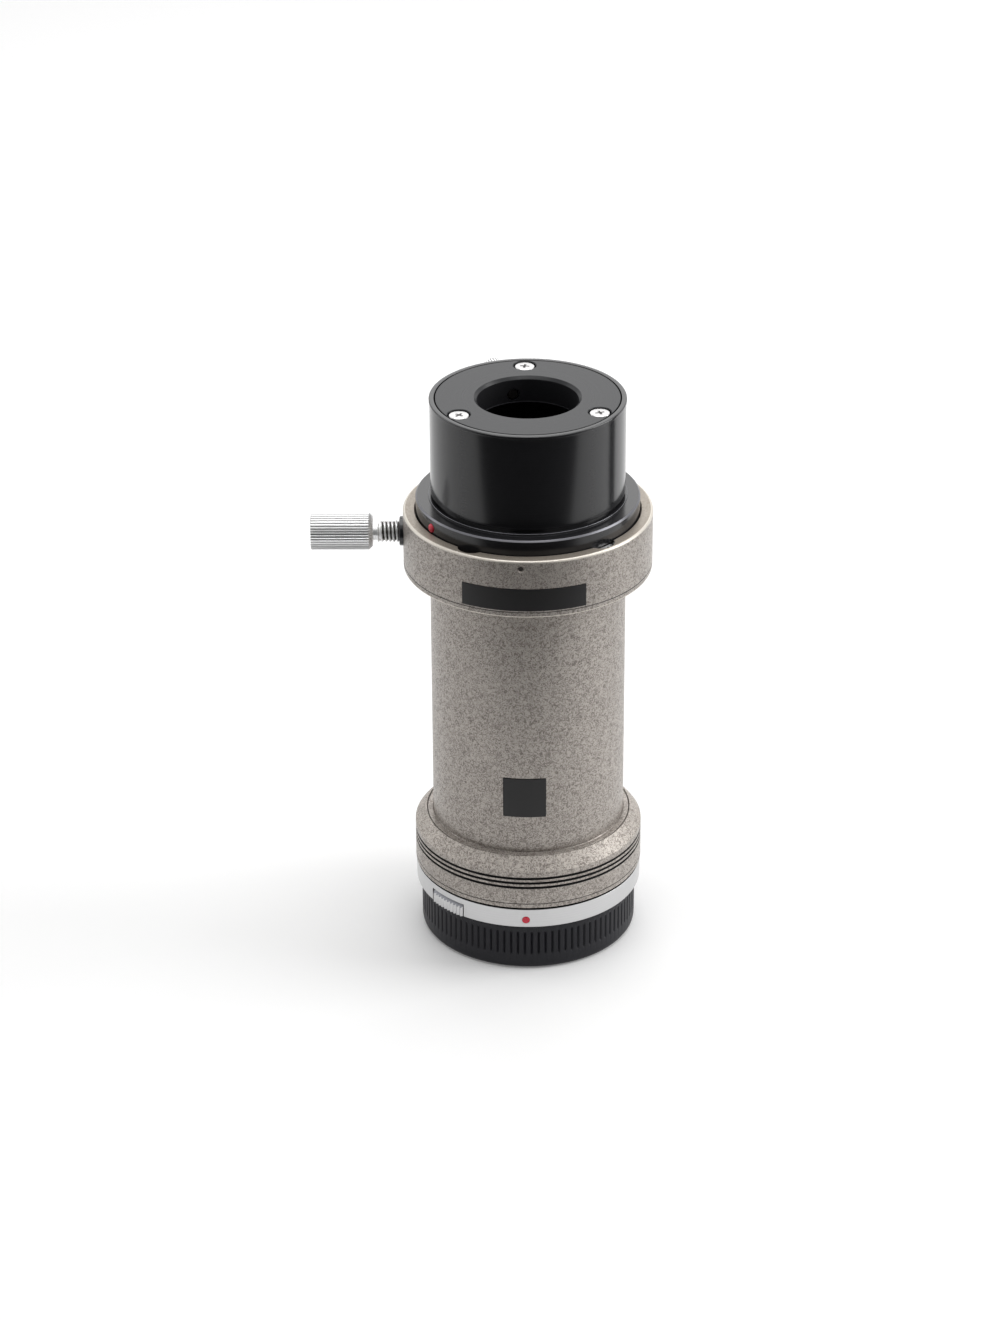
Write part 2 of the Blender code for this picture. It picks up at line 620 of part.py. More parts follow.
def place_downward(obj, azimuth, distance, height):
    """Place an object with local +Z facing down."""
    obj.rotation_euler = (math.pi, 0.0, math.radians(azimuth))
    obj.location = direction(azimuth) * distance + Vector((0.0, 0.0, height))
    return obj


def button_block(radius_out, half_width, inner, teeth):
    """Outline the button in plan, with a serrated or a plain outer arc."""
    half_angle = math.asin(half_width / radius_out)
    steps = 2 * teeth if teeth else 6
    points = [button_frame(inner, -half_width)]
    for step in range(steps + 1):
        angle = -half_angle + 2 * half_angle * step / steps
        reach = radius_out - (BUTTON_TOOTH_DEPTH if teeth and step % 2 else 0.0)
        points.append(button_frame(reach * math.cos(angle), reach * math.sin(angle)))
    points.append(button_frame(inner, half_width))
    return [tuple(point.to_2d()) for point in points]


def build_mount_ring(shop):
    """Build the silver ring, with the button's pocket, the latch pin's hole and the screw holes."""
    bore = BAYONET_SPIGOT_RADIUS + SEAT
    profile = [(bore, RING_BOTTOM), (bore, RING_TOP), (MOUNT_RING_RADIUS, RING_TOP),
               (MOUNT_RING_RADIUS, RING_BOTTOM)]
    ring = shop.turned("mount_ring", profile, RING_SEGMENTS)

    pocket = button_block(BUTTON_OUTER + PAST, BUTTON_HALF_WIDTH + SEAT,
                          BUTTON_INNER - BUTTON_TRAVEL - SEAT, 0)
    pocket_top = RING_BOTTOM + BUTTON_HEIGHT + SEAT
    shop.cut(ring, shop.prism("button_pocket", pocket, RING_BOTTOM - PAST, pocket_top))
    latch_top = BAYONET_FLANGE_BOTTOM - LATCH_REACH + LATCH_LENGTH + LATCH_TRAVEL
    hole = shop.cylinder("latch_hole", LATCH_RADIUS + SEAT, RING_BOTTOM - PAST, latch_top + SEAT)
    hole.location = latch_place()
    shop.cut(ring, hole)
    drill_bayonet_shafts(shop, ring, RING_BOTTOM - PAST, RING_TOP + PAST)
    cut_bead_hole(shop, ring, CAMERA_BEAD_AZIMUTH, MOUNT_RING_RADIUS, CAMERA_BEAD_HEIGHT)
    return shop.keep(ring, "aluminium")


def build_button(shop):
    """Build the release button with its spring bore, the coil spring and the latch pin."""
    low, high = RING_BOTTOM, RING_BOTTOM + BUTTON_HEIGHT
    outline = button_block(BUTTON_OUTER, BUTTON_HALF_WIDTH, BUTTON_INNER, BUTTON_TOOTH_COUNT)
    button = shop.prism("release_button", outline, low, high)
    bore_end = BUTTON_INNER + BUTTON_BORE_DEPTH
    bore_radius = SPRING_RADIUS + SPRING_WIRE_RADIUS + SEAT
    bore = shop.cylinder("spring_bore", bore_radius, BUTTON_INNER - PAST, bore_end, SCREW_SEGMENTS)
    shop.cut(button, place_radial(bore, BUTTON_AZIMUTH, (low + high) / 2))
    shop.keep(button, "aluminium")

    # The coil is drawn at its length with the button pressed in.
    start = BUTTON_INNER - BUTTON_TRAVEL + SPRING_WIRE_RADIUS
    end = bore_end - BUTTON_TRAVEL - SEAT - SPRING_WIRE_RADIUS
    curve = bpy.data.curves.new("button_spring", "CURVE")
    curve.dimensions = "3D"
    curve.bevel_depth = SPRING_WIRE_RADIUS
    curve.bevel_resolution = 1
    curve.use_fill_caps = True
    spline = curve.splines.new("POLY")
    count = SPRING_TURNS * SPRING_POINTS_PER_TURN
    spline.points.add(count)
    for step, point in enumerate(spline.points):
        angle = 2 * math.pi * step / SPRING_POINTS_PER_TURN
        along = start + (end - start) * step / count
        point.co = (SPRING_RADIUS * math.cos(angle), SPRING_RADIUS * math.sin(angle), along, 1.0)
    source = bpy.data.objects.new("button_spring_path", curve)
    shop.cutters.objects.link(source)
    place_radial(source, BUTTON_AZIMUTH, (low + high) / 2)
    bpy.context.view_layer.update()
    spring = shop.as_mesh(source, "button_spring")
    bpy.data.objects.remove(source, do_unlink=True)
    shop.keep(spring, "steel")

    foot = BAYONET_FLANGE_BOTTOM - LATCH_REACH
    profile = [(0.0, foot + LATCH_LENGTH), (LATCH_RADIUS, foot + LATCH_LENGTH),
               (LATCH_RADIUS, foot + LATCH_TIP_CHAMFER), (LATCH_RADIUS - LATCH_TIP_CHAMFER, foot),
               (0.0, foot)]
    pin = shop.turned("latch_pin", profile, SCREW_SEGMENTS, ring=False)
    pin.location = latch_place()
    shop.keep(pin, "steel")


def bead_profile(radius_at):
    """Give a bead's profile, measured from the adapter's axis outwards."""
    crown = radius_at + BEAD_PROUD
    return [(0.0, crown), (BEAD_CROWN_RADIUS, crown - BEAD_CROWN_DROP), (BEAD_RADIUS, radius_at),
            (BEAD_RADIUS, radius_at - BEAD_DEPTH), (0.0, radius_at - BEAD_DEPTH)]


def cut_bead_hole(shop, obj, azimuth, radius_at, height):
    """Drill the hole that an index bead sits in."""
    deep = radius_at - BEAD_DEPTH - SEAT
    hole = shop.cylinder(obj.name + "_bead_hole", BEAD_RADIUS + SEAT, deep, radius_at + PAST)
    shop.cut(obj, place_radial(hole, azimuth, height))


def build_bead(shop, name, azimuth, radius_at, height):
    """Build an index bead."""
    bead = shop.turned(name, bead_profile(radius_at), SCREW_SEGMENTS, ring=False)
    return shop.keep(place_radial(bead, azimuth, height), "red")


def drill_bayonet_shafts(shop, obj, low, high):
    """Drill the holes that the bayonet plate's long screws take through the rings above it."""
    for number, azimuth in enumerate(BAYONET_SCREW_AZIMUTHS, start=1):
        hole = shop.cylinder(f"{obj.name}_shaft_hole_{number}", M2_SCREW[1] + SEAT, low, high)
        hole.location = direction(azimuth) * BAYONET_SCREW_CIRCLE
        shop.cut(obj, hole)


def build_base(shop):
    """Build the thin painted ring and the coned, grooved base above it."""
    profile = [(LOWER_RING_BORE, LOWER_RING_BOTTOM), (LOWER_RING_BORE, LOWER_RING_TOP),
               (BASE_RADIUS, LOWER_RING_TOP), (BASE_RADIUS, LOWER_RING_BOTTOM)]
    lower = shop.turned("lower_ring", profile, RING_SEGMENTS)
    drill_bayonet_shafts(shop, lower, LOWER_RING_BOTTOM - PAST, LOWER_RING_TOP + PAST)
    shop.keep(lower, "hammertone")

    bore = TUBE_SPIGOT_RADIUS + SEAT
    seat_radius = TUBE_FOOT_RADIUS + SEAT
    profile = [(bore, BASE_BOTTOM), (bore, BASE_SEAT), (seat_radius, BASE_SEAT), (seat_radius, BASE_TOP),
               (BASE_CONE_TOP_RADIUS, BASE_TOP), (BASE_RADIUS, CONE_BOTTOM)]
    for number in range(BASE_GROOVE_COUNT):
        centre = CONE_BOTTOM - BASE_GROOVE_BELOW_CONE - number * BASE_GROOVE_PITCH
        profile.append((BASE_RADIUS, centre + BASE_GROOVE_WIDTH / 2))
        profile.append((BASE_RADIUS - BASE_GROOVE_DEPTH, centre))
        profile.append((BASE_RADIUS, centre - BASE_GROOVE_WIDTH / 2))
    profile.append((BASE_RADIUS, BASE_BOTTOM))
    base = shop.turned("base_ring", profile, RING_SEGMENTS)
    screw_end = BAYONET_FLANGE_BOTTOM + BAYONET_SCREW_LENGTH
    drill_bayonet_shafts(shop, base, BASE_BOTTOM - PAST, screw_end + SEAT)
    shop.keep(base, "hammertone")


def nameplate(shop, name, radius_at, azimuth, half_angle, low, height):
    """Build a thin bare plate and the cutter for its recess."""
    inner = radius_at - PLATE_RECESS + SEAT
    outline = sector(inner, inner + PLATE_THICKNESS, azimuth, half_angle, PLATE_STEPS)
    shop.keep(shop.prism(name, outline, low, low + height), "plate")
    margin = math.degrees(SEAT / radius_at)
    recess = sector(radius_at - PLATE_RECESS, radius_at + PAST, azimuth, half_angle + margin,
                    PLATE_STEPS)
    return shop.prism(name + "_recess", recess, low - SEAT, low + height + SEAT)


def build_tube(shop):
    """Build the painted tube and its lower plate."""
    profile = [(TUBE_BORE, TUBE_BOTTOM), (TUBE_BORE, TUBE_TOP), (TUBE_HEAD_RADIUS, TUBE_TOP),
               (TUBE_HEAD_RADIUS, TUBE_FLANGE_TOP), (COLLAR_RADIUS, TUBE_FLANGE_TOP),
               (COLLAR_RADIUS, FLANGE_UNDERSIDE), (TUBE_RADIUS, FLANGE_UNDERSIDE),
               (TUBE_RADIUS, BASE_TOP), (TUBE_FOOT_RADIUS, BASE_TOP), (TUBE_FOOT_RADIUS, TUBE_FOOT_BOTTOM),
               (TUBE_SPIGOT_RADIUS, TUBE_FOOT_BOTTOM), (TUBE_SPIGOT_RADIUS, TUBE_BOTTOM)]
    tube = shop.turned("main_tube", profile, RING_SEGMENTS)
    for number, azimuth in enumerate(collar_screw_azimuths(), start=1):
        hole = shop.cylinder(f"collar_tapping_{number}", M3_SCREW[1] + SEAT,
                             COLLAR_FLOOR - COLLAR_SCREW_LENGTH - SEAT, TUBE_TOP + PAST)
        hole.location = direction(azimuth) * SCALLOP_CIRCLE
        shop.cut(tube, hole)
    low = BASE_TOP + LOWER_PLATE_ABOVE_BASE - LOWER_PLATE_HEIGHT / 2
    recess = nameplate(shop, "nameplate_lower", TUBE_RADIUS, LOWER_PLATE_AZIMUTH,
                       LOWER_PLATE_HALF_ANGLE, low, LOWER_PLATE_HEIGHT)
    shop.cut(tube, recess)
    shop.keep(tube, "hammertone")


def collar_screw_azimuths():
    """Give the azimuths of the scallops and of the screws in them."""
    pitch = 360.0 / SCALLOP_COUNT
    return [SCALLOP_AZIMUTH + pitch * number for number in range(SCALLOP_COUNT)]


def build_collar(shop):
    """Build the clamp collar, with its scallops, screws, bush, set screw and upper plate."""
    head_recess = TUBE_HEAD_RADIUS + SEAT
    profile = [(head_recess, COLLAR_BOTTOM), (head_recess, COLLAR_WEB_BOTTOM),
               (COLLAR_BORE, COLLAR_WEB_BOTTOM), (COLLAR_BORE, COLLAR_FLOOR),
               (MOUTH_RADIUS, COLLAR_FLOOR), (MOUTH_RADIUS, COLLAR_TOP),
               (COLLAR_RADIUS - COLLAR_EDGE, COLLAR_TOP), (COLLAR_RADIUS, COLLAR_TOP - COLLAR_EDGE),
               (COLLAR_RADIUS, COLLAR_BOTTOM)]
    collar = shop.turned("collar", profile, RING_SEGMENTS)
    for number, azimuth in enumerate(collar_screw_azimuths(), start=1):
        scallop = shop.cylinder(f"scallop_{number}", SCALLOP_RADIUS, COLLAR_FLOOR + LAP,
                                COLLAR_TOP + PAST, SMALL_SEGMENTS)
        scallop.location = direction(azimuth) * SCALLOP_CIRCLE
        shop.cut(collar, scallop)
        hole = countersunk_hole(shop, f"collar_screw_hole_{number}", M3_SCREW, COLLAR_SCREW_LENGTH)
        shop.cut(collar, place_upright(hole, azimuth, SCALLOP_CIRCLE, COLLAR_FLOOR))
        screw = countersunk(shop, f"collar_screw_{number}", M3_SCREW, COLLAR_SCREW_LENGTH)
        shop.keep(place_upright(screw, azimuth, SCALLOP_CIRCLE, COLLAR_FLOOR), "steel")

    bush_start = COLLAR_RADIUS + BUSH_PROUD - BUSH_LENGTH
    seat = shop.cylinder("bush_seat", BUSH_RADIUS + SEAT, bush_start - SEAT, COLLAR_RADIUS + PAST,
                         SMALL_SEGMENTS)
    shop.cut(collar, place_radial(seat, CLAMP_AZIMUTH, CLAMP_HEIGHT))
    bore = shop.cylinder("clamp_bore", THUMB_THREAD_RADIUS + SEAT, COLLAR_BORE - PAST,
                         COLLAR_RADIUS + PAST, SMALL_SEGMENTS)
    shop.cut(collar, place_radial(bore, CLAMP_AZIMUTH, CLAMP_HEIGHT))
    hole = shop.cylinder("set_screw_hole", SET_SCREW_RADIUS + SEAT, MOUTH_RADIUS - PAST,
                         COLLAR_RADIUS + PAST)
    shop.cut(collar, place_radial(hole, SET_SCREW_AZIMUTH, SET_SCREW_HEIGHT))
    low = COLLAR_TOP - UPPER_PLATE_BELOW_TOP - UPPER_PLATE_HEIGHT / 2
    recess = nameplate(shop, "nameplate_upper", COLLAR_RADIUS, UPPER_PLATE_AZIMUTH,
                       UPPER_PLATE_HALF_ANGLE, low, UPPER_PLATE_HEIGHT)
    shop.cut(collar, recess)
    shop.keep(collar, "hammertone")

    inner, outer = THUMB_THREAD_RADIUS + SEAT, BUSH_RADIUS
    bush_end = bush_start + BUSH_LENGTH
    profile = [(inner, bush_start), (inner, bush_end), (outer - SEAT, bush_end),
               (outer, bush_end - SEAT), (outer, bush_start)]
    bush = shop.turned("screw_bush", profile, SMALL_SEGMENTS)
    shop.keep(place_radial(bush, CLAMP_AZIMUTH, CLAMP_HEIGHT), "anodised")

    start, end = MOUTH_RADIUS + SEAT, COLLAR_RADIUS - SET_SCREW_SUNK
    profile = [(0.0, end), (SET_SCREW_RADIUS, end), (SET_SCREW_RADIUS, start), (0.0, start)]
    screw = shop.turned("set_screw", profile, SCREW_SEGMENTS, ring=False)
    shop.keep(place_radial(screw, SET_SCREW_AZIMUTH, SET_SCREW_HEIGHT), "steel")


def knurled_screw(shop, name, tip, shank, neck, head, ridges, depth):
    """Build a screw with a knurled head, its local Z running from its tip outwards.

    The neck is (radius, length), and the head is (radius, start, length, chamfer).
    """
    radius, start, length, chamfer = head
    end = start + length
    envelope = [(0.0, end), (radius + ROOT, end), (radius + ROOT, start + chamfer + ROOT),
                (radius - chamfer, start), (0.0, start)]
    knob = shop.turned(name, envelope, SMALL_SEGMENTS, ring=False)
    outline = ridged_outline(radius, depth, ridges)
    knurl = shop.prism(name + "_knurl", outline, start - PAST, end + PAST)
    knurl.parent = knob
    shop.boolean(knob, knurl, "INTERSECT")
    neck_radius, neck_length = neck
    profile = [(0.0, start + ROOT), (neck_radius, start + ROOT), (neck_radius, start - neck_length),
               (shank, start - neck_length - SCREW_POINT), (shank, tip + SCREW_POINT),
               (shank - SCREW_POINT, tip), (0.0, tip)]
    stem = shop.turned(name + "_stem", profile, SMALL_SEGMENTS, ring=False)
    stem.parent = knob
    shop.join(knob, stem)
    return knob


def build_clamp(shop):
    """Build the thumb screw and the pad that it presses into the mount's groove."""
    nose = SPIGOT_RADIUS - CLAMP_GROOVE_DEPTH + PAD_GROOVE_GAP
    radius = THUMB_THREAD_RADIUS
    back = nose + PAD_LENGTH
    shoulder = nose + PAD_TIP_LENGTH
    profile = [(0.0, back), (radius, back), (radius, shoulder),
               (PAD_TIP_RADIUS + PAD_CONE_REACH, shoulder), (PAD_TIP_RADIUS, nose), (0.0, nose)]
    pad = shop.turned("clamp_pad", profile, SMALL_SEGMENTS, ring=False)
    shop.keep(place_radial(pad, CLAMP_AZIMUTH, CLAMP_HEIGHT), "brass")

    screw = knurled_screw(shop, "thumb_screw", back + SEAT, THUMB_THREAD_RADIUS,
                          (THUMB_NECK_RADIUS, THUMB_NECK_LENGTH),
                          (KNOB_RADIUS, KNOB_START, KNOB_LENGTH, KNOB_CHAMFER),
                          KNOB_RIDGE_COUNT, KNOB_RIDGE_DEPTH)
    shop.keep(place_radial(screw, CLAMP_AZIMUTH, CLAMP_HEIGHT), "steel")


def build_mount_flange(shop):
    """Build the black flange, with the spigot that the clamp holds and the neck under the sleeve."""
    groove = CLAMP_GROOVE_FLOOR / 2
    deep = SPIGOT_RADIUS - CLAMP_GROOVE_DEPTH
    edge = groove + CLAMP_GROOVE_DEPTH
    join = SLEEVE_BORE - SEAT
    profile = [(FLANGE_BORE, MOUNT_BOTTOM - SPIGOT_LENGTH), (FLANGE_BORE, NECK_TOP + JOIN_HEIGHT),
               (join, NECK_TOP + JOIN_HEIGHT), (join, NECK_TOP), (NECK_RADIUS, NECK_TOP),
               (NECK_RADIUS, MOUNT_TOP + LIP_HEIGHT), (LIP_RADIUS, MOUNT_TOP + LIP_HEIGHT),
               (LIP_RADIUS, MOUNT_TOP),
               (FLANGE_RADIUS - FLANGE_CHAMFER, MOUNT_TOP), (FLANGE_RADIUS, MOUNT_TOP - FLANGE_CHAMFER),
               (FLANGE_RADIUS, MOUNT_BOTTOM), (SPIGOT_RADIUS, MOUNT_BOTTOM),
               (SPIGOT_RADIUS, CLAMP_HEIGHT + edge), (deep, CLAMP_HEIGHT + groove),
               (deep, CLAMP_HEIGHT - groove), (SPIGOT_RADIUS, CLAMP_HEIGHT - edge),
               (SPIGOT_RADIUS, MOUNT_BOTTOM - SPIGOT_LENGTH)]
    flange = shop.turned("mount_flange", profile, RING_SEGMENTS)
    cut_bead_hole(shop, flange, SCOPE_BEAD_AZIMUTH, FLANGE_RADIUS, SCOPE_BEAD_HEIGHT)
    shop.keep(flange, "anodised")


def plate_screw_azimuths():
    """Give the azimuths of the top plate's screws."""
    pitch = 360.0 / PLATE_SCREW_COUNT
    return [PLATE_SCREW_AZIMUTH + pitch * number for number in range(PLATE_SCREW_COUNT)]


def build_sleeve(shop):
    """Build the black sleeve with the shoulder that the top plate sits on."""
    rim_bore = TOP_PLATE_RADIUS + SEAT
    rim_low = SLEEVE_TOP - SLEEVE_RIM_HEIGHT
    edge = SLEEVE_RIM_CHAMFER
    profile = [(SLEEVE_BORE, SLEEVE_BOTTOM), (SLEEVE_BORE, SHOULDER_BOTTOM),
               (SHOULDER_BORE, SHOULDER_BOTTOM),
               (SHOULDER_BORE, SHOULDER_TOP), (rim_bore, SHOULDER_TOP), (rim_bore, SLEEVE_TOP),
               (SLEEVE_RIM_RADIUS - edge, SLEEVE_TOP), (SLEEVE_RIM_RADIUS, SLEEVE_TOP - edge),
               (SLEEVE_RIM_RADIUS, rim_low), (SLEEVE_RADIUS, rim_low), (SLEEVE_RADIUS, SLEEVE_BOTTOM)]
    sleeve = shop.turned("sleeve", profile, RING_SEGMENTS)
    screw_end = SLEEVE_TOP - PLATE_SCREW_BELOW_FACE - PLATE_SCREW_HEAD_HEIGHT - PLATE_SCREW_LENGTH
    for number, azimuth in enumerate(plate_screw_azimuths(), start=1):
        hole = shop.cylinder(f"plate_tapping_{number}", PLATE_SCREW_RADIUS + SEAT, screw_end - SEAT,
                             SHOULDER_TOP + PAST)
        hole.location = direction(azimuth) * PLATE_SCREW_CIRCLE
        shop.cut(sleeve, hole)
    hole = shop.cylinder("lock_wall_hole", LOCK_RADIUS + SEAT, TOP_PLATE_RADIUS,
                         SLEEVE_RIM_RADIUS + PAST)
    shop.cut(sleeve, place_radial(hole, LOCK_AZIMUTH, LOCK_HEIGHT))
    shop.keep(sleeve, "anodised")


def build_top_plate(shop):
    """Build the round plate with the bore, and its three cross-head screws."""
    edge = TOP_PLATE_CHAMFER
    profile = [(TOP_PLATE_BORE, TOP_PLATE_BOTTOM), (TOP_PLATE_BORE, SLEEVE_TOP - edge),
               (TOP_PLATE_BORE + edge, SLEEVE_TOP), (TOP_PLATE_RADIUS, SLEEVE_TOP),
               (TOP_PLATE_RADIUS, TOP_PLATE_BOTTOM)]
    plate = shop.turned("top_plate", profile, RING_SEGMENTS)
    head_top = SLEEVE_TOP - PLATE_SCREW_BELOW_FACE
    head_low = head_top - PLATE_SCREW_HEAD_HEIGHT
    for number, azimuth in enumerate(plate_screw_azimuths(), start=1):
        pocket = shop.cylinder(f"head_pocket_{number}", PLATE_SCREW_HEAD_RADIUS + SEAT, head_low - SEAT,
                               SLEEVE_TOP + PAST, SMALL_SEGMENTS)
        passage = shop.cylinder(f"screw_passage_{number}", PLATE_SCREW_RADIUS + SEAT,
                                TOP_PLATE_BOTTOM - PAST, head_low)
        for cutter in (pocket, passage):
            cutter.location = direction(azimuth) * PLATE_SCREW_CIRCLE
            shop.cut(plate, cutter)
        build_plate_screw(shop, f"plate_screw_{number}", azimuth, head_top)
    hole = shop.cylinder("lock_plate_hole", LOCK_RADIUS + SEAT, TOP_PLATE_BORE - PAST,
                         TOP_PLATE_RADIUS + PAST)
    shop.cut(plate, place_radial(hole, LOCK_AZIMUTH, LOCK_HEIGHT))
    shop.keep(plate, "anodised")


def build_plate_screw(shop, name, azimuth, head_top):
    """Build one of the top plate's flat-headed screws."""
    head, shank = PLATE_SCREW_HEAD_RADIUS, PLATE_SCREW_RADIUS
    head_height, length = PLATE_SCREW_HEAD_HEIGHT, PLATE_SCREW_LENGTH
    profile = [(0.0, 0.0), (head - PLATE_SCREW_EDGE, 0.0), (head, -PLATE_SCREW_EDGE),
               (head, -head_height), (shank, -head_height), (shank, -head_height - length),
               (0.0, -head_height - length)]
    screw = shop.turned(name, profile, SMALL_SEGMENTS, ring=False)
    outline = cross_outline(head * CROSS_REACH, head * CROSS_WIDTH / 2)
    cross = shop.prism(name + "_cross", outline, -CROSS_DEPTH, PAST)
    cross.parent = screw
    shop.cut(screw, cross)
    shop.keep(place_upright(screw, azimuth, PLATE_SCREW_CIRCLE, head_top), "steel")


def build_lock(shop):
    """Build the small lock screw behind the sleeve and its brass tip."""
    tip = TOP_PLATE_BORE + LOCK_PAD_FROM_BORE
    back = tip + LOCK_PAD_LENGTH
    profile = [(0.0, back), (LOCK_RADIUS, back), (LOCK_RADIUS, tip + SEAT),
               (LOCK_RADIUS - SEAT, tip), (0.0, tip)]
    pad = shop.turned("lock_pad", profile, SCREW_SEGMENTS, ring=False)
    shop.keep(place_radial(pad, LOCK_AZIMUTH, LOCK_HEIGHT), "brass")
    screw = knurled_screw(shop, "lock_screw", back + SEAT, LOCK_RADIUS,
                          (LOCK_NECK_RADIUS, LOCK_NECK_LENGTH),
                          (LOCK_HEAD_RADIUS, LOCK_HEAD_OUT, LOCK_HEAD_LENGTH, LOCK_CHAMFER),
                          LOCK_RIDGE_COUNT, KNOB_RIDGE_DEPTH)
    shop.keep(place_radial(screw, LOCK_AZIMUTH, LOCK_HEIGHT), "steel")


def main():
    """Build the whole adapter, from the cap upwards."""
    clear_scene()
    shop = Workshop()
    build_rear_cap(shop)
    build_bayonet(shop)
    build_mount_ring(shop)
    build_button(shop)
    build_bead(shop, "index_dot_camera", CAMERA_BEAD_AZIMUTH, MOUNT_RING_RADIUS, CAMERA_BEAD_HEIGHT)
    build_base(shop)
    build_tube(shop)
    build_collar(shop)
    build_clamp(shop)
    build_mount_flange(shop)
    build_bead(shop, "index_dot_scope", SCOPE_BEAD_AZIMUTH, FLANGE_RADIUS, SCOPE_BEAD_HEIGHT)
    build_sleeve(shop)
    build_top_plate(shop)
    build_lock(shop)


main()
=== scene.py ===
"""Looks of a microscope camera adapter that stands on its ribbed rear cap.

The adapter's axis is Z and its front is -Y. An azimuth is counted in degrees from the front
towards +X. Sizes are in millimetres here, and become metres where a mesh, a lamp or the camera is
made. Each sub-assembly is a class, and so is each finish. main() builds them from the cap upwards.
"""

from __future__ import annotations

import logging
import math
from collections.abc import Callable
from dataclasses import dataclass, field
from enum import Enum, IntEnum

import bmesh
import bpy
from bpy.types import ID, Material, Node, NodeSocket, NodeTree, Object
from mathutils import Matrix, Vector


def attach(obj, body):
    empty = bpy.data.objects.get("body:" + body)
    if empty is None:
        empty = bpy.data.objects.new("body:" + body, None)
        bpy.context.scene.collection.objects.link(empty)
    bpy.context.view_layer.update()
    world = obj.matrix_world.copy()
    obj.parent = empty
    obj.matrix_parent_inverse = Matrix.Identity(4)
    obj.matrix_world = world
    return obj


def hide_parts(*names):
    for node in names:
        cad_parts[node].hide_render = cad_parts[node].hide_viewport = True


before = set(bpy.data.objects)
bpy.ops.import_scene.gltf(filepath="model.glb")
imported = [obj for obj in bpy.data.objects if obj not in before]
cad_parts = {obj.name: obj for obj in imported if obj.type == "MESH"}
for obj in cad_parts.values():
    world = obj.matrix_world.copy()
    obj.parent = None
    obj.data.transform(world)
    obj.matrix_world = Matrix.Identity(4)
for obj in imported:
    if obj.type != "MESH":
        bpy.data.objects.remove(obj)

LOG = logging.getLogger("adapter")
MM = 0.001
# How far a cutter stands clear of what it cuts, in mm
CLEAR = 1.0
# How near a face's middle lies to the radius or height that tells its finish, in mm
NEAR, SLIT, HAIR = 0.1, 0.05, 0.02
# Edges that turn by more than this many degrees shade sharp, and break where a tool broke them
SHARP_FROM, BREAK_FROM = 32.0, 40.0
Pair = tuple[float, float]
Triple = tuple[float, float, float]
# Points of radius and height in mm, each with its corner's rounding in mm where it has one
Profile = list[tuple[float, ...]]


class Body(Enum):
    """The CAD bodies that pieces ride on."""

    MAIN = "adapter_body"
    CAP = "cap"
    BUTTON = "button"
    CLAMP_SCREW = "clamp_screw"
    MOUNT = "scope_mount"
    LOCK = "lock"


class Slot(Enum):
    """The material slots of the record."""

    PLASTIC = "black_plastic"
    CHROME = "bayonet_chrome"
    STEEL = "bright_steel"
    ALUMINIUM = "satin_aluminium"
    HAMMERTONE = "hammertone"
    ANODISED = "black_anodised"
    PLATE = "black_plate"
    RED = "red_enamel"
    BRASS = "brass"


class Hollow(Enum):
    """Share of the pitch that the hollow between two ribs takes."""

    NARROW = 0.46
    WIDE = 0.85


class Facets(IntEnum):
    """Facets round a turned form, by how large it shows."""

    TINY = 32
    SMALL = 48
    MIDDLE = 72
    LARGE = 96
    FULL = 360


def linear(colour: str) -> tuple[float, float, float, float]:
    """Turn an sRGB hex colour to linear.

    Args:
        colour: The colour as "#rrggbb".

    Returns:
        Linear red, green and blue, and an alpha of 1.
    """
    channels = []
    for start in (1, 3, 5):
        value = int(colour[start:start + 2], 16) / 255
        channels.append(value / 12.92 if value <= 0.04045 else ((value + 0.055) / 1.055) ** 2.4)
    return (channels[0], channels[1], channels[2], 1.0)


def add_node(tree: NodeTree, kind: str, settings: dict | None = None, links: dict | None = None) -> Node:
    """Add a node with its settings and links.

    Args:
        tree: The node tree.
        kind: The node's type.
        settings: Values by input name, by input number or by property name.
        links: Output sockets by the input name or number that they feed.

    Returns:
        The new node.
    """
    node = tree.nodes.new(kind)
    properties = {key: value for key, value in (settings or {}).items()
                  if isinstance(key, str) and key not in node.inputs}
    for key, value in properties.items():
        setattr(node, key, value)
    for key, value in (settings or {}).items():
        if key not in properties:
            node.inputs[key].default_value = value
    for key, source in (links or {}).items():
        tree.links.new(source, node.inputs[key])
    return node


def direction(azimuth: float) -> Vector:
    """Give the level unit vector of an azimuth.

    Args:
        azimuth: Degrees from the front towards +X.

    Returns:
        The unit vector.
    """
    angle = math.radians(azimuth)
    return Vector((math.sin(angle), -math.cos(angle), 0.0))


def along_radius(azimuth: float, height: float) -> Matrix:
    """Place a piece whose local Z runs outwards along an azimuth, from the adapter's axis.

    Args:
        azimuth: Where local Z points, in degrees.
        height: Height of the piece's own axis, in mm.

    Returns:
        The placing matrix, in metres.
    """
    out, side = direction(azimuth), direction(azimuth + 90.0)
    axes = Matrix((side, Vector((0.0, 0.0, 1.0)), out)).transposed().to_4x4()
    return Matrix.Translation((0.0, 0.0, height * MM)) @ axes


def standing(azimuth: float, distance: float, height: float = 0.0) -> Matrix:
    """Place an upright piece off the adapter's axis.

    Args:
        azimuth: Where it stands, in degrees.
        distance: How far from the axis, in mm.
        height: Height of its origin, in mm.

    Returns:
        The placing matrix, in metres.
    """
    place = direction(azimuth) * distance + Vector((0.0, 0.0, height))
    return Matrix.Translation(place * MM) @ Matrix.Rotation(math.radians(azimuth), 4, "Z")


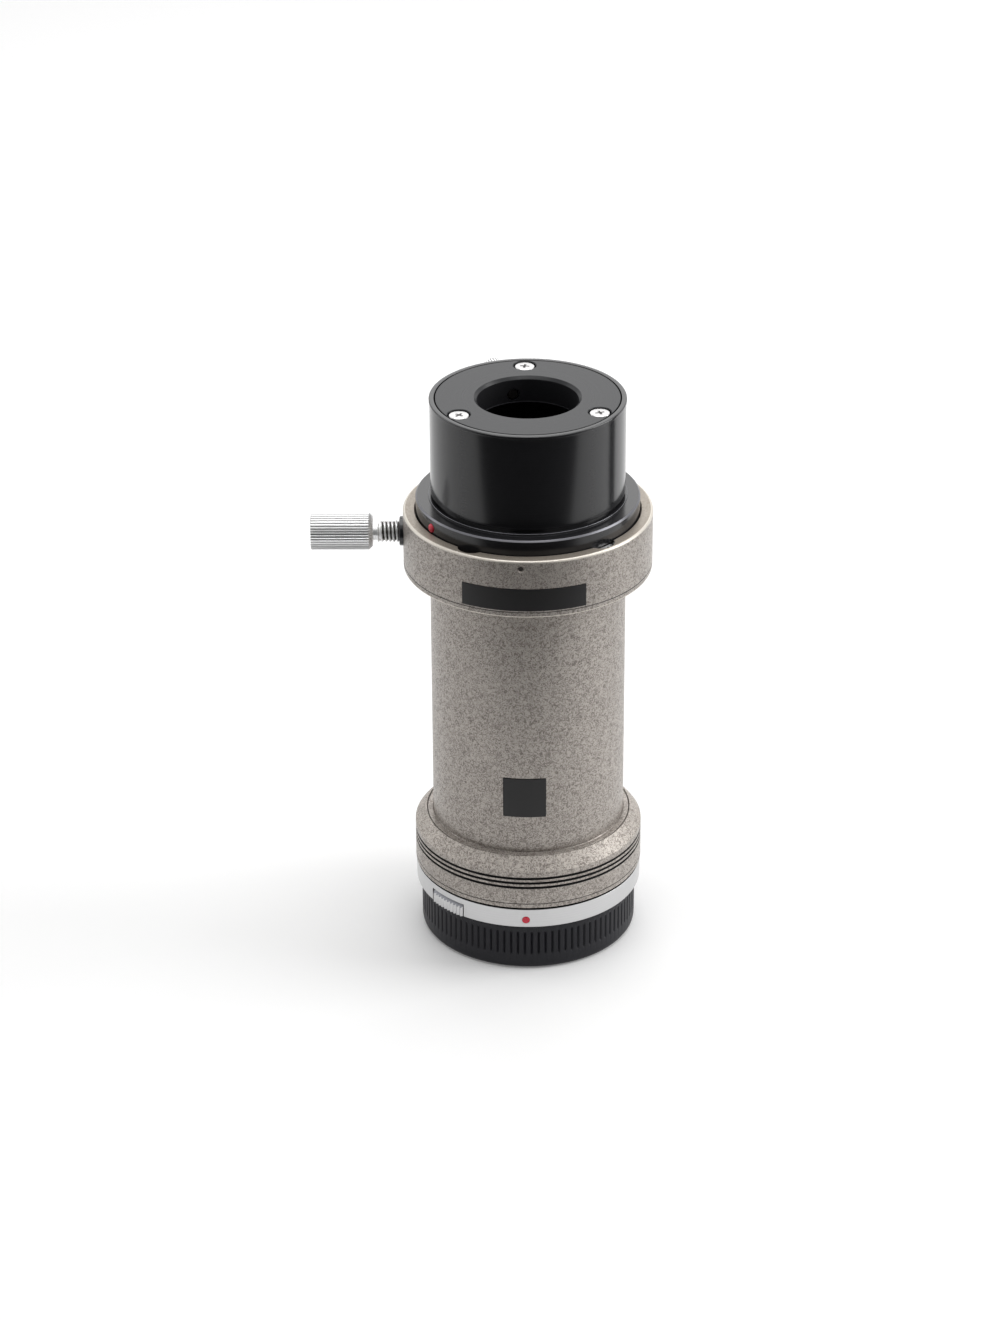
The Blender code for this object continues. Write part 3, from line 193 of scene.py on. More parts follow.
def rounded(profile: Profile, steps: int = 4) -> list[Pair]:
    """Round a profile's corners.

    Args:
        profile: Its points.
        steps: Facets in each rounding.

    Returns:
        The profile's plain points.
    """
    nearly_straight, most = math.radians(88.0), 0.48
    points: list[Pair] = []
    for index, item in enumerate(profile):
        corner = Vector(item[:2])
        radius = item[2] if len(item) > 2 else 0.0
        before = Vector(profile[index - 1][:2]) - corner
        after = Vector(profile[(index + 1) % len(profile)][:2]) - corner
        half = before.angle(after) / 2 if radius else 0.0
        if not radius or half > nearly_straight:
            points.append((corner.x, corner.y))
            continue
        reach = min(radius / math.tan(half), most * before.length, most * after.length)
        radius = reach * math.tan(half)
        inwards = (before.normalized() + after.normalized()).normalized()
        middle = corner + inwards * radius / math.sin(half)
        start = corner + before.normalized() * reach - middle
        end = corner + after.normalized() * reach - middle
        sweep = start.angle_signed(end)
        for step in range(steps + 1):
            spoke = start.copy()
            spoke.rotate(Matrix.Rotation(-sweep * step / steps, 2))
            points.append((middle.x + spoke.x, middle.y + spoke.y))
    return points


@dataclass(frozen=True)
class Ribs:
    """Straight ribs round a turned piece, made by hollows that sink into it."""

    count: int
    depth: float
    low: float
    high: float
    run_out: float
    hollow: Hollow
    inner: float
    samples: int = 10

    def sink(self, share: float, radius: float, height: float) -> float:
        """Tell how far the surface sinks at a point.

        Args:
            share: Place round the piece, in turns.
            radius: Radius of the profile's point, in mm.
            height: Height of the profile's point, in mm.

        Returns:
            The depth, in mm.
        """
        if radius < self.inner or not self.low <= height <= self.high:
            return 0.0
        near = abs(share * self.count % 1.0 - 0.5) / self.hollow.value
        if near >= 0.5:
            return 0.0
        end = min(height - self.low, self.high - height)
        full = min(1.0, end / self.run_out) if self.run_out else 1.0
        return self.depth * 0.5 * (1 + math.cos(2 * math.pi * near)) * math.sin(math.pi / 2 * full)


def placed(name: str, data: ID, place: Matrix) -> Object:
    """Set a mesh, a lamp or the camera up in the scene.

    Args:
        name: The object's name.
        data: Its mesh, light or camera.
        place: Its placing matrix, in metres.

    Returns:
        The linked object.
    """
    item = bpy.data.objects.new(name, data)
    bpy.context.scene.collection.objects.link(item)
    item.matrix_world = place
    return item


def mesh_object(name: str, vertices: list, faces: list, place: Matrix) -> Object:
    """Make a closed mesh object with its faces turned outwards.

    Args:
        name: The piece's name.
        vertices: Its corners, in mm.
        faces: Its faces, as tuples of corner numbers.
        place: Its placing matrix, in metres.

    Returns:
        The linked object.
    """
    mesh = bpy.data.meshes.new(name)
    mesh.from_pydata([(x * MM, y * MM, z * MM) for x, y, z in vertices], [], faces)
    body = bmesh.new()
    body.from_mesh(mesh)
    bmesh.ops.recalc_face_normals(body, faces=body.faces)
    body.to_mesh(mesh)
    body.free()
    return placed(name, mesh, place)


def turned(name: str, profile: Profile, segments: int = Facets.FULL, place: Matrix = Matrix(),
           ribs: Ribs | None = None) -> Object:
    """Turn a profile about local Z.

    Args:
        name: The piece's name.
        profile: A closed ring's points, or a solid's from the axis back to the axis, in mm.
        segments: Facets round it, unless its ribs set their number.
        place: Its placing matrix.
        ribs: Ribs round it.

    Returns:
        The linked object.
    """
    if ribs:
        segments = ribs.count * ribs.samples
    points = rounded(profile)
    vertices: list[Triple] = []
    rings: list[list[int]] = []
    for radius, height in points:
        if radius == 0.0:
            rings.append([len(vertices)] * segments)
            vertices.append((0.0, 0.0, height))
            continue
        rings.append(list(range(len(vertices), len(vertices) + segments)))
        for step in range(segments):
            angle = 2 * math.pi * step / segments
            reach = radius - (ribs.sink(step / segments, radius, height) if ribs else 0.0)
            vertices.append((reach * math.sin(angle), -reach * math.cos(angle), height))
    faces = []
    solid = points[0][0] == 0.0 and points[-1][0] == 0.0
    for index in range(len(rings) - (1 if solid else 0)):
        one, two = rings[index], rings[(index + 1) % len(rings)]
        for step in range(segments):
            after = (step + 1) % segments
            face = list(dict.fromkeys((one[step], one[after], two[after], two[step])))
            if len(face) > 2:
                faces.append(tuple(face))
    return mesh_object(name, vertices, faces, place)


def drill(radius: float, start: float, end: float, place: Matrix, segments: int = Facets.SMALL) -> Object:
    """Make the cutter for a plain round hole along local Z.

    Args:
        radius: Radius of the hole, in mm.
        start: Where it starts, in mm.
        end: Where it ends, in mm.
        place: Its placing matrix.
        segments: Facets round it.

    Returns:
        The cutter.
    """
    return turned("drill", [(0.0, end), (radius, end), (radius, start), (0.0, start)], segments, place)


def threaded(name: str, radius: float, depth: float, pitch: float, low: float, high: float,
             place: Matrix) -> Object:
    """Cut a right-handed screw thread on a rod along local Z.

    Args:
        name: The piece's name.
        radius: Radius over the thread's crests, in mm.
        depth: Depth of the thread, in mm.
        pitch: Distance from crest to crest, in mm.
        low: Start of the rod, in mm.
        high: End of the rod, in mm.
        place: Its placing matrix.

    Returns:
        The linked object.
    """
    segments, per_pitch = 40, 10
    steepness, crest = 2.6, 0.15
    rows = max(2, round((high - low) / pitch * per_pitch))
    vertices = []
    for row in range(rows + 1):
        height = low + (high - low) * row / rows
        run_out = min(1.0, (height - low) / pitch, (high - height) / pitch)
        for step in range(segments):
            angle = 2 * math.pi * step / segments
            phase = (height / pitch - step / segments) % 1.0
            fall = min(1.0, max(0.0, steepness * abs(phase - 0.5) - crest))
            reach = radius - depth * fall * run_out
            vertices.append((reach * math.cos(angle), reach * math.sin(angle), height))
    faces = [tuple(range(segments)), tuple(range(rows * segments, (rows + 1) * segments))]
    for row in range(rows):
        for step in range(segments):
            after = (step + 1) % segments
            one, two = row * segments, (row + 1) * segments
            faces.append((one + step, one + after, two + after, two + step))
    return mesh_object(name, vertices, faces, place)


def raised(name: str, outline: list[Pair], low: float, high: float,
           place: Matrix = Matrix(), narrowing: float = 1.0) -> Object:
    """Raise a flat outline to a block.

    Args:
        name: The piece's name.
        outline: Its corners in plan, in mm.
        low: Height of its underside, in mm.
        high: Height of its top, in mm.
        place: Its placing matrix.
        narrowing: Size of the underside, as a share of the top.

    Returns:
        The linked object.
    """
    count = len(outline)
    vertices = [(x * narrowing, y * narrowing, low) for x, y in outline]
    vertices += [(x, y, high) for x, y in outline]
    faces = [tuple(range(count)), tuple(range(count, 2 * count))]
    for step in range(count):
        after = (step + 1) % count
        faces.append((step, after, count + after, count + step))
    return mesh_object(name, vertices, faces, place)


def curved_slab(name: str, inner: float, outer: float, azimuth: float, half_angle: float,
                low: float, high: float, steps: int = 40) -> Object:
    """Make a slab that follows the adapter's round side.

    Args:
        name: The piece's name.
        inner: Inner radius, in mm.
        outer: Outer radius, in mm.
        azimuth: Its middle, in degrees.
        half_angle: Half of what it spans, in degrees.
        low: Height of its underside, in mm.
        high: Height of its top, in mm.
        steps: Facets round it.

    Returns:
        The linked object.
    """
    angles = [azimuth - half_angle + 2 * half_angle * step / steps for step in range(steps + 1)]
    outline = [tuple((direction(angle) * outer).to_2d()) for angle in angles]
    outline += [tuple((direction(angle) * inner).to_2d()) for angle in reversed(angles)]
    return raised(name, outline, low, high)


def worked(piece: Object) -> None:
    """Settle a piece's modifiers into its mesh.

    Args:
        piece: The piece.
    """
    bpy.context.view_layer.update()
    graph = bpy.context.evaluated_depsgraph_get()
    mesh = bpy.data.meshes.new_from_object(piece.evaluated_get(graph))
    mesh.name = piece.name
    piece.modifiers.clear()
    piece.data = mesh


def carved(piece: Object, *cutters: Object) -> Object:
    """Cut solids out of a piece.

    Args:
        piece: The piece.
        cutters: The solids, which are used up.

    Returns:
        The piece.
    """
    for cutter in cutters:
        modifier = piece.modifiers.new("Cut", "BOOLEAN")
        modifier.operation = "DIFFERENCE"
        modifier.solver = "MANIFOLD"
        modifier.object = cutter
    worked(piece)
    for cutter in cutters:
        bpy.data.objects.remove(cutter, do_unlink=True)
    return piece


def broken_edges(piece: Object, width: float, segments: int = 2) -> Object:
    """Break a piece's sharp edges.

    Args:
        piece: The piece.
        width: Width of the broken edge, in mm.
        segments: Facets across it.

    Returns:
        The piece.
    """
    modifier = piece.modifiers.new("Edges", "BEVEL")
    modifier.width = width * MM
    modifier.segments = segments
    modifier.limit_method = "ANGLE"
    modifier.angle_limit = math.radians(BREAK_FROM)
    worked(piece)
    return piece


def gathered(name: str, *parts: Object) -> Object:
    """Gather parts that share one placing into one piece.

    Args:
        name: The piece's name.
        parts: The parts, which are used up.

    Returns:
        The piece.
    """
    body = bmesh.new()
    for part in parts:
        body.from_mesh(part.data)
    mesh = bpy.data.meshes.new(name)
    body.to_mesh(mesh)
    body.free()
    piece = placed(name, mesh, parts[0].matrix_world.copy())
    for part in parts:
        bpy.data.objects.remove(part, do_unlink=True)
    return piece


@dataclass(frozen=True)
class Finish:
    """What every finish shares: a material's name, a slot of the record, and the layers of its coat.

    Its pattern moves the colour from the shade to the colour, adds to the roughness what duller
    gives for its two ends, and raises the surface by the depth, in mm, at the relief's strength.
    """

    name: str
    slot: Slot
    colour: str
    shade: str
    roughness: float
    metallic: float = 0.0
    gloss: float = 0.5
    depth: float = 0.002
    relief: float = 0.3
    duller: Pair | None = None

    def dress(self, tree: NodeTree, shader: Node) -> None:
        """Give the shader this finish's values and patterns."""
        raise NotImplementedError

    def lay(self, tree: NodeTree, shader: Node, tint: NodeSocket, pattern: NodeSocket) -> None:
        """Lay the colours, the gloss and the relief on the shader.

        Args:
            tree: The material's node tree.
            shader: Its Principled shader.
            tint: Moves the colour.
            pattern: Moves the roughness and the surface.
        """
        for name, value in (("Metallic", self.metallic), ("Specular IOR Level", self.gloss),
                            ("Roughness", self.roughness)):
            shader.inputs[name].default_value = value
        mix = add_node(tree, "ShaderNodeMix",
                       {"data_type": "RGBA", 6: linear(self.shade), 7: linear(self.colour)}, {0: tint})
        bump = add_node(tree, "ShaderNodeBump", {"Strength": self.relief, "Distance": self.depth * MM},
                        {"Height": pattern})
        tree.links.new(mix.outputs[2], shader.inputs["Base Color"])
        tree.links.new(bump.outputs[0], shader.inputs["Normal"])
        if self.duller:
            low, high = self.duller
            rough = add_node(tree, "ShaderNodeMapRange",
                             {"To Min": self.roughness + low, "To Max": self.roughness + high},
                             {"Value": pattern})
            tree.links.new(rough.outputs[0], shader.inputs["Roughness"])

    def material(self) -> Material:
        """Make this finish's material, once.

        Returns:
            The material.
        """
        known = bpy.data.materials.get(self.name)
        if known:
            return known
        material = bpy.data.materials.new(self.name)
        material.use_nodes = True
        self.dress(material.node_tree, material.node_tree.nodes["Principled BSDF"])
        return material


@dataclass(frozen=True)
class HammertoneEnamel(Finish):
    """Grey-brown hammertone enamel, sprayed and stoved on turned aluminium.

    Aluminium flake drifts in the wet film, so the dry coat shows small worm-like darker marks on a
    lighter, half metallic ground, under a soft gloss that is gently dimpled.
    """

    name: str = "hammertone_enamel"
    slot: Slot = Slot.HAMMERTONE
    colour: str = "#b9b2ab"
    shade: str = "#7c756f"
    roughness: float = 0.4
    metallic: float = 0.45
    depth: float = 0.02
    relief: float = 0.55
    duller: Pair | None = (0.1, -0.04)
    # A mark's width in mm, and the widths of the swirls and patches it comes from as shares of it
    mark: float = 0.52
    swirl_width: float = 1.6
    swirl: float = 1.2
    swirl_edge: Pair = (0.01, 0.1)
    patch_width: float = 2.0
    patch_edge: Pair = (0.48, 0.74)
    patch_light: float = 0.5
    # Flakes of 0.05 mm are too fine to show, so they are drawn as clusters of this many mm
    flake: float = 0.16
    flake_edge: Pair = (0.35, 0.7)
    flake_light: Pair = (0.78, 1.12)

    def dress(self, tree: NodeTree, shader: Node) -> None:
        """Draw the marks, the flake and the dimples.

        Args:
            tree: The material's node tree.
            shader: Its Principled shader.
        """
        place = add_node(tree, "ShaderNodeTexCoord").outputs["Object"]
        sizes = ((self.swirl_width * self.mark, self.swirl), (self.patch_width * self.mark, 0.0),
                 (self.flake, 0.0))
        swirl, patch, flake = (
            add_node(tree, "ShaderNodeTexNoise",
                     {"Scale": 1 / (size * MM), "Detail": 1.0, "Distortion": distortion},
                     {"Vector": place}) for size, distortion in sizes)
        off = add_node(tree, "ShaderNodeMath", {"operation": "SUBTRACT", 1: 0.5}, {0: swirl.outputs[0]})
        near = add_node(tree, "ShaderNodeMath", {"operation": "ABSOLUTE"}, {0: off.outputs[0]})
        low, high = self.swirl_edge
        worm = add_node(tree, "ShaderNodeMapRange",
                        {"From Min": low, "From Max": high, "interpolation_type": "SMOOTHSTEP"},
                        {"Value": near.outputs[0]})
        low, high = self.patch_edge
        gap = add_node(tree, "ShaderNodeMapRange",
                       {"From Min": low, "From Max": high, "To Max": self.patch_light},
                       {"Value": patch.outputs[0]})
        mottle = add_node(tree, "ShaderNodeMath", {"operation": "MAXIMUM"},
                          {0: worm.outputs[0], 1: gap.outputs[0]})
        (low, high), (dim, bright) = self.flake_edge, self.flake_light
        spark = add_node(tree, "ShaderNodeMapRange",
                         {"From Min": low, "From Max": high, "To Min": dim, "To Max": bright},
                         {"Value": flake.outputs[0]})
        level = add_node(tree, "ShaderNodeMath", {"operation": "MULTIPLY", "use_clamp": True},
                         {0: mottle.outputs[0], 1: spark.outputs[0]})
        self.lay(tree, shader, level.outputs[0], mottle.outputs[0])


@dataclass(frozen=True)
class TurnedMetal(Finish):
    """A metal or a coated metal that keeps the fine rings that a lathe tool leaves.

    The marks are drawn about four times as coarse as a real 0.05 mm feed, so that they still
    streak the reflections.
    """

    pitch: float = 0.2
    duller: Pair | None = (-0.06, 0.06)

    def dress(self, tree: NodeTree, shader: Node) -> None:
        """Draw the turning marks in the colour, the gloss and the relief.

        Radius plus height changes along a turned side and across a turned face alike.

        Args:
            tree: The material's node tree.
            shader: Its Principled shader.
        """
        place = add_node(tree, "ShaderNodeTexCoord")
        parts = add_node(tree, "ShaderNodeSeparateXYZ", links={0: place.outputs["Object"]})
        flat = add_node(tree, "ShaderNodeCombineXYZ", links={0: parts.outputs[0], 1: parts.outputs[1]})
        radius = add_node(tree, "ShaderNodeVectorMath", {"operation": "LENGTH"}, {0: flat.outputs[0]})
        along = add_node(tree, "ShaderNodeMath", {"operation": "ADD"},
                         {0: radius.outputs["Value"], 1: parts.outputs[2]})
        marks = add_node(tree, "ShaderNodeTexNoise",
                         {"noise_dimensions": "1D", "Scale": 1 / (self.pitch * MM), "Detail": 2.0},
                         {"W": along.outputs[0]})
        self.lay(tree, shader, marks.outputs["Fac"], marks.outputs["Fac"])


@dataclass(frozen=True)
class GrainedCoat(Finish):
    """A plastic or a paint with a fine even grain.

    A moulded plastic takes the spark-eroded grain of its mould, and a sprayed coat its own orange
    peel, so each breaks its highlight up softly. Real grain is about 0.1 mm wide, which is too fine
    to show, so it is drawn two or three times as wide, and the orange peel as wide as it is.
    """

    grain: float = 0.3
    depth: float = 0.01
    relief: float = 0.4
    duller: Pair | None = (-0.08, 0.08)

    def dress(self, tree: NodeTree, shader: Node) -> None:
        """Draw the grain in the colour, the gloss and the relief.

        Args:
            tree: The material's node tree.
            shader: Its Principled shader.
        """
        place = add_node(tree, "ShaderNodeTexCoord")
        grain = add_node(tree, "ShaderNodeTexNoise", {"Scale": 1 / (self.grain * MM), "Detail": 3.0},
                         {"Vector": place.outputs["Object"]})
        self.lay(tree, shader, grain.outputs["Fac"], grain.outputs["Fac"])


@dataclass(frozen=True)
class ChippedLacquer(Finish):
    """Black lacquer that a tool has chipped, so that bright bare aluminium shows in flecks."""

    name: str = "chipped_black_lacquer"
    slot: Slot = Slot.HAMMERTONE
    colour: str = "#f2f2f2"
    shade: str = "#1b1a1a"
    roughness: float = 0.35
    depth: float = 0.05
    relief: float = 0.6
    fleck: float = 0.8
    fleck_edge: Pair = (0.47, 0.51)

    def dress(self, tree: NodeTree, shader: Node) -> None:
        """Draw the flecks in the colour, the metal and the relief.

        Args:
            tree: The material's node tree.
            shader: Its Principled shader.
        """
        place = add_node(tree, "ShaderNodeTexCoord")
        noise = add_node(tree, "ShaderNodeTexNoise", {"Scale": 1 / (self.fleck * MM), "Detail": 2.0},
                         {"Vector": place.outputs["Object"]})
        low, high = self.fleck_edge
        chip = add_node(tree, "ShaderNodeMapRange", {"From Min": low, "From Max": high},
                        {"Value": noise.outputs["Fac"]})
        self.lay(tree, shader, chip.outputs[0], noise.outputs["Fac"])
        tree.links.new(chip.outputs[0], shader.inputs["Metallic"])


HAMMERTONE = HammertoneEnamel()
CHIPPED_LACQUER = ChippedLacquer()
# The same enamel, plainer where the spray only dusted the metal, and darker and warmer as painted shade
THIN_ENAMEL_PAINTED_SHADE = HammertoneEnamel("thin_hammertone_enamel_painted_shade", colour="#a59c91", shade="#948b80", depth=0.004)
# Enamel on the upward-facing cone, a lighter copy: painted light from the lamps above
CONE_ENAMEL_PAINTED_LIGHT = HammertoneEnamel("hammertone_enamel_cone_painted_light", colour="#c4bdb5", shade="#857d77", metallic=0.4,
                               roughness=0.54)
# Enamel worn thin over a rounded edge by handling, so the metal shows; also paler as a painted highlight
RUBBED_ENAMEL_AND_HIGHLIGHT = HammertoneEnamel("rubbed_enamel_edge_and_painted_highlight", colour="#d9d3c9", shade="#cdc6bb", metallic=0.5,
                                 roughness=0.36, depth=0.002)
# Dyed anodising over a fine-turned side: near black, with a tight satin gloss
BLACK_ANODISED = TurnedMetal("black_anodised_aluminium", Slot.ANODISED, "#29292b", "#212123",
                             metallic=0.0, roughness=0.17)
# The same dye over a facing cut, which scatters a little more light
FACED_ANODISED = TurnedMetal("black_anodised_facing", Slot.ANODISED, "#1b1c1f", "#151619",
                             metallic=0.0, roughness=0.3, pitch=0.3, gloss=0.3)
# The dyed wall inside the bore: duller, and darker than the outside as painted shade
BORE_ANODISED_PAINTED_SHADE = TurnedMetal("anodised_bore_painted_shade", Slot.ANODISED, "#1d1d20", "#171719",
                             metallic=0.0, roughness=0.5, pitch=0.3, gloss=0.25)
# Anodising worn thin on a chamfer, so grey aluminium shows; also a painted highlight along the edges
RUBBED_ANODISED_AND_HIGHLIGHT = TurnedMetal("rubbed_anodised_edge_and_painted_highlight", Slot.ANODISED, "#75757a", "#626267",
                              metallic=0.6, roughness=0.28)
# Satin turned aluminium under clear anodising: an even, slightly cool silver
SATIN_ALUMINIUM = TurnedMetal("satin_turned_aluminium", Slot.ALUMINIUM, "#cfcfcf", "#c0c0c1",
                              metallic=1.0, roughness=0.36)
# Nickel plate on turned steel: bright, a little warm and fairly sharp
NICKELLED_STEEL = TurnedMetal("nickel_plated_steel", Slot.STEEL, "#cdcccc", "#bcbbbb",
                              metallic=1.0, roughness=0.24)
# The same plate, tumbled: its satin spreads the light over a knurl's ridges
SATIN_NICKEL = TurnedMetal("satin_nickel_plate", Slot.STEEL, "#f2f2f2", "#e8e8e8",
                           metallic=1.0, roughness=0.42)
# A knurl's valleys: dark as painted shade, and dull
KNURL_VALLEY = TurnedMetal("dull_knurl_valley", Slot.STEEL, "#3e3e40", "#323234",
                           metallic=0.4, roughness=0.5, gloss=0.3)
# Aluminium in painted shade under an overhang: greyer and duller than the ring's side
ALUMINIUM_IN_PAINTED_SHADE = TurnedMetal("aluminium_in_painted_shade", Slot.ALUMINIUM, "#8e8f94", "#7d7e83",
                               metallic=0.8, roughness=0.5)
# Hard chrome on brass: bluish and mirror-like
CHROMED_BRASS = TurnedMetal("chromed_brass", Slot.CHROME, "#d8dade", "#c8cace",
                            metallic=1.0, roughness=0.14)
# Steel blued black against rust: dark and a little oily
BLUED_STEEL = TurnedMetal("blued_steel", Slot.STEEL, "#6a6563", "#575250",
                          metallic=0.2, roughness=0.4)
# A thread's root in painted shade: brownish black and dull
THREAD_ROOT_PAINTED_SHADE = TurnedMetal("thread_root_painted_shade", Slot.STEEL, "#5a5754", "#454240",
                         metallic=0.8, roughness=0.45)
# Bare turned brass, gone a little dull
TURNED_BRASS = TurnedMetal("turned_brass", Slot.BRASS, "#c9a24f", "#b08a3c",
                           metallic=1.0, roughness=0.3)
# Brass darkened to the bore's painted shade, so that it doesn't shine inside the bore
BRASS_IN_PAINTED_SHADE = TurnedMetal("brass_in_painted_shade", Slot.BRASS, "#1c1a18", "#141210",
                              metallic=0.3, roughness=0.4)
# Moulded black polyamide: matt, with a fine spark-eroded grain
MOULDED_PLASTIC = GrainedCoat("moulded_black_plastic", Slot.PLASTIC, "#1d1d23", "#16161b",
                              roughness=0.48, grain=0.25, depth=0.02, gloss=0.3)
# Satin black enamel on a thin plate: smooth, with a slight orange peel
BLACK_PLATE = GrainedCoat("satin_black_plate", Slot.PLATE, "#1a191a", "#151415",
                          roughness=0.4, grain=0.6, gloss=0.4)
# Black lacquer run into the turned grooves: dull and dark; the same black is painted shade in seams
BLACK_LACQUER_AND_PAINTED_SHADE = GrainedCoat("black_groove_lacquer_and_painted_shade", Slot.HAMMERTONE, "#141313", "#0c0b0b",
                            roughness=0.6)
# Clear red enamel dropped in a drilled hole, where the bare metal glows through it
RED_ENAMEL = GrainedCoat("red_enamel", Slot.RED, "#ff3a5c", "#f22e50",
                         roughness=0.3, depth=0.008, metallic=0.6)


def finished(piece: Object, body: Body, finish: Finish, *nodes: str) -> Object:
    """Shade a piece, dress it and set it on its CAD body.

    Args:
        piece: The piece, in its place.
        body: The body that it rides on.
        finish: Its finish.
        nodes: The CAD nodes that it stands for.

    Returns:
        The piece.
    """
    piece.data.shade_smooth()
    piece.data.set_sharp_from_angle(angle=math.radians(SHARP_FROM))
    normals = piece.modifiers.new("Normals", "WEIGHTED_NORMAL")
    normals.keep_sharp = True
    # Large faces count for much more than the narrow ones of a rounding
    normals.weight = 90
    piece.data.materials.clear()
    piece.data.materials.append(finish.material())
    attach(piece, body.value)
    if nodes:
        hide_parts(*nodes)
    LOG.info("%s: %d faces in %s on %s", piece.name, len(piece.data.polygons), finish.name,
             body.value)
    return piece


def dress_nodes(finish: Finish, *nodes: str) -> None:
    """Give carried-over CAD nodes a finish.

    Args:
        finish: The finish.
        nodes: The nodes' names.
    """
    for name in nodes:
        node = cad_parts[name]
        if not node.material_slots:
            node.data.materials.append(finish.material())
        for slot in node.material_slots:
            slot.material = finish.material()
        LOG.info("%s: CAD node in %s", name, finish.name)


def recoated(piece: Object, finish: Finish, where: Callable[[float, float, float], bool]) -> None:
    """Coat some faces of a piece with a second finish.

    Args:
        piece: The piece, already dressed.
        finish: The second finish.
        where: Tells from a face's radius and height in mm, and its azimuth in degrees, all about
            local Z, whether it is one.
    """
    slot = len(piece.data.materials)
    piece.data.materials.append(finish.material())
    for face in piece.data.polygons:
        place = face.center / MM
        azimuth = math.degrees(math.atan2(place.x, -place.y))
        if where(place.to_2d().length, place.z, azimuth):
            face.material_index = slot


@dataclass(frozen=True)
class ScrewRing:
    """Upright screws round the adapter's axis, and the clearance holes that they need."""

    azimuths: tuple[float, ...]
    circle: float
    clearance: float

    def drills(self, low: float, high: float) -> list[Object]:
        """Make the cutters for the clearance holes, between two heights in mm."""
        return [drill(self.clearance, low, high, standing(azimuth, self.circle), Facets.TINY)
                for azimuth in self.azimuths]


BAYONET_SCREWS = ScrewRing((0.0, 90.0, 180.0, 270.0), circle=24.6, clearance=1.2)
COLLAR_SCREWS = ScrewRing((-31.0, 41.0, 113.0, 185.0, 257.0), circle=25.8, clearance=1.7)


@dataclass
class RearCap:
    """The ribbed cap over the bayonet, which the adapter stands on."""

    radius: float = 28.5
    height: float = 13.4
    wall: float = 1.5
    floor: float = 1.8
    edge: float = 1.7
    ribs: Ribs = Ribs(98, 0.45, 4.2, 11.5, run_out=0.7, hollow=Hollow.NARROW, inner=28.4)
    # Shares of the ribs' height where their ends need a row of corners
    rows: tuple[float, ...] = (0.0, 0.03, 0.06, 0.1, 0.15, 0.5, 0.85, 0.9, 0.94, 0.97, 1.0)
    claw_ring: Pair = (24.2, 25.4)
    claw_heights: Pair = (9.7, 10.8)
    claw_inner: float = 22.7
    claw_azimuth: float = 20.0
    claw_half_angle: float = 22.0
    claw_count: int = 3
    stop: Pair = (44.8, 1.5)
    lap: float = 0.1

    def build(self) -> None:
        """Build the cap with its claws, and dress it."""
        ring_in, ring_out = self.claw_ring
        low, high = self.claw_heights
        inside, floor, ribs = self.radius - self.wall, self.floor, self.ribs
        profile: Profile = [(0.0, floor), (ring_in, floor), (ring_in, high + self.lap),
                            (ring_out, high + self.lap), (ring_out, floor), (inside, floor, 0.3),
                            (inside, self.height, 0.2), (self.radius, self.height, 0.35)]
        tall = ribs.high - ribs.low
        profile += [(self.radius, ribs.low + share * tall) for share in reversed(self.rows)]
        profile += [(self.radius, 0.0, self.edge), (0.0, 0.0)]
        parts = [turned("ribbed_cap", profile, ribs=ribs)]
        inner, outer = self.claw_inner, ring_in + 2 * self.lap
        for number in range(self.claw_count):
            azimuth = self.claw_azimuth + 360.0 / self.claw_count * number
            parts.append(curved_slab("claw", inner, outer, azimuth, self.claw_half_angle, low, high,
                                     steps=16))
        parts.append(curved_slab("stop", inner, outer, *self.stop, floor - self.lap, high, steps=2))
        finished(gathered("ribbed_rear_cap", *parts), Body.CAP, MOULDED_PLASTIC, "rear_cap")


@dataclass
class RedBead:
    """A drop of red enamel that marks how two parts line up."""

    name: str
    azimuth: float
    height: float
    surface: float
    body: Body
    node: str
    radius: float = 1.0
    proud: float = 0.15
    depth: float = 0.9
    gap: Pair = (0.06, 0.3)
    dome_steps: int = 6

    def hole(self) -> Object:
        """Make the cutter for the hole that the bead sits in."""
        start, end = self.surface - self.depth - self.gap[1], self.surface + CLEAR
        return drill(self.radius + self.gap[0], start, end, along_radius(self.azimuth, self.height))

    def build(self) -> None:
        """Build the bead, and dress it."""
        angles = [math.radians(90.0 * step / self.dome_steps) for step in range(self.dome_steps + 1)]
        profile = [(self.radius * math.sin(angle), self.surface + self.proud * math.cos(angle))
                   for angle in angles]
        profile += [(self.radius, self.surface - self.depth), (0.0, self.surface - self.depth)]
        bead = turned(self.name, profile, Facets.SMALL, along_radius(self.azimuth, self.height))
        finished(bead, self.body, RED_ENAMEL, self.node)


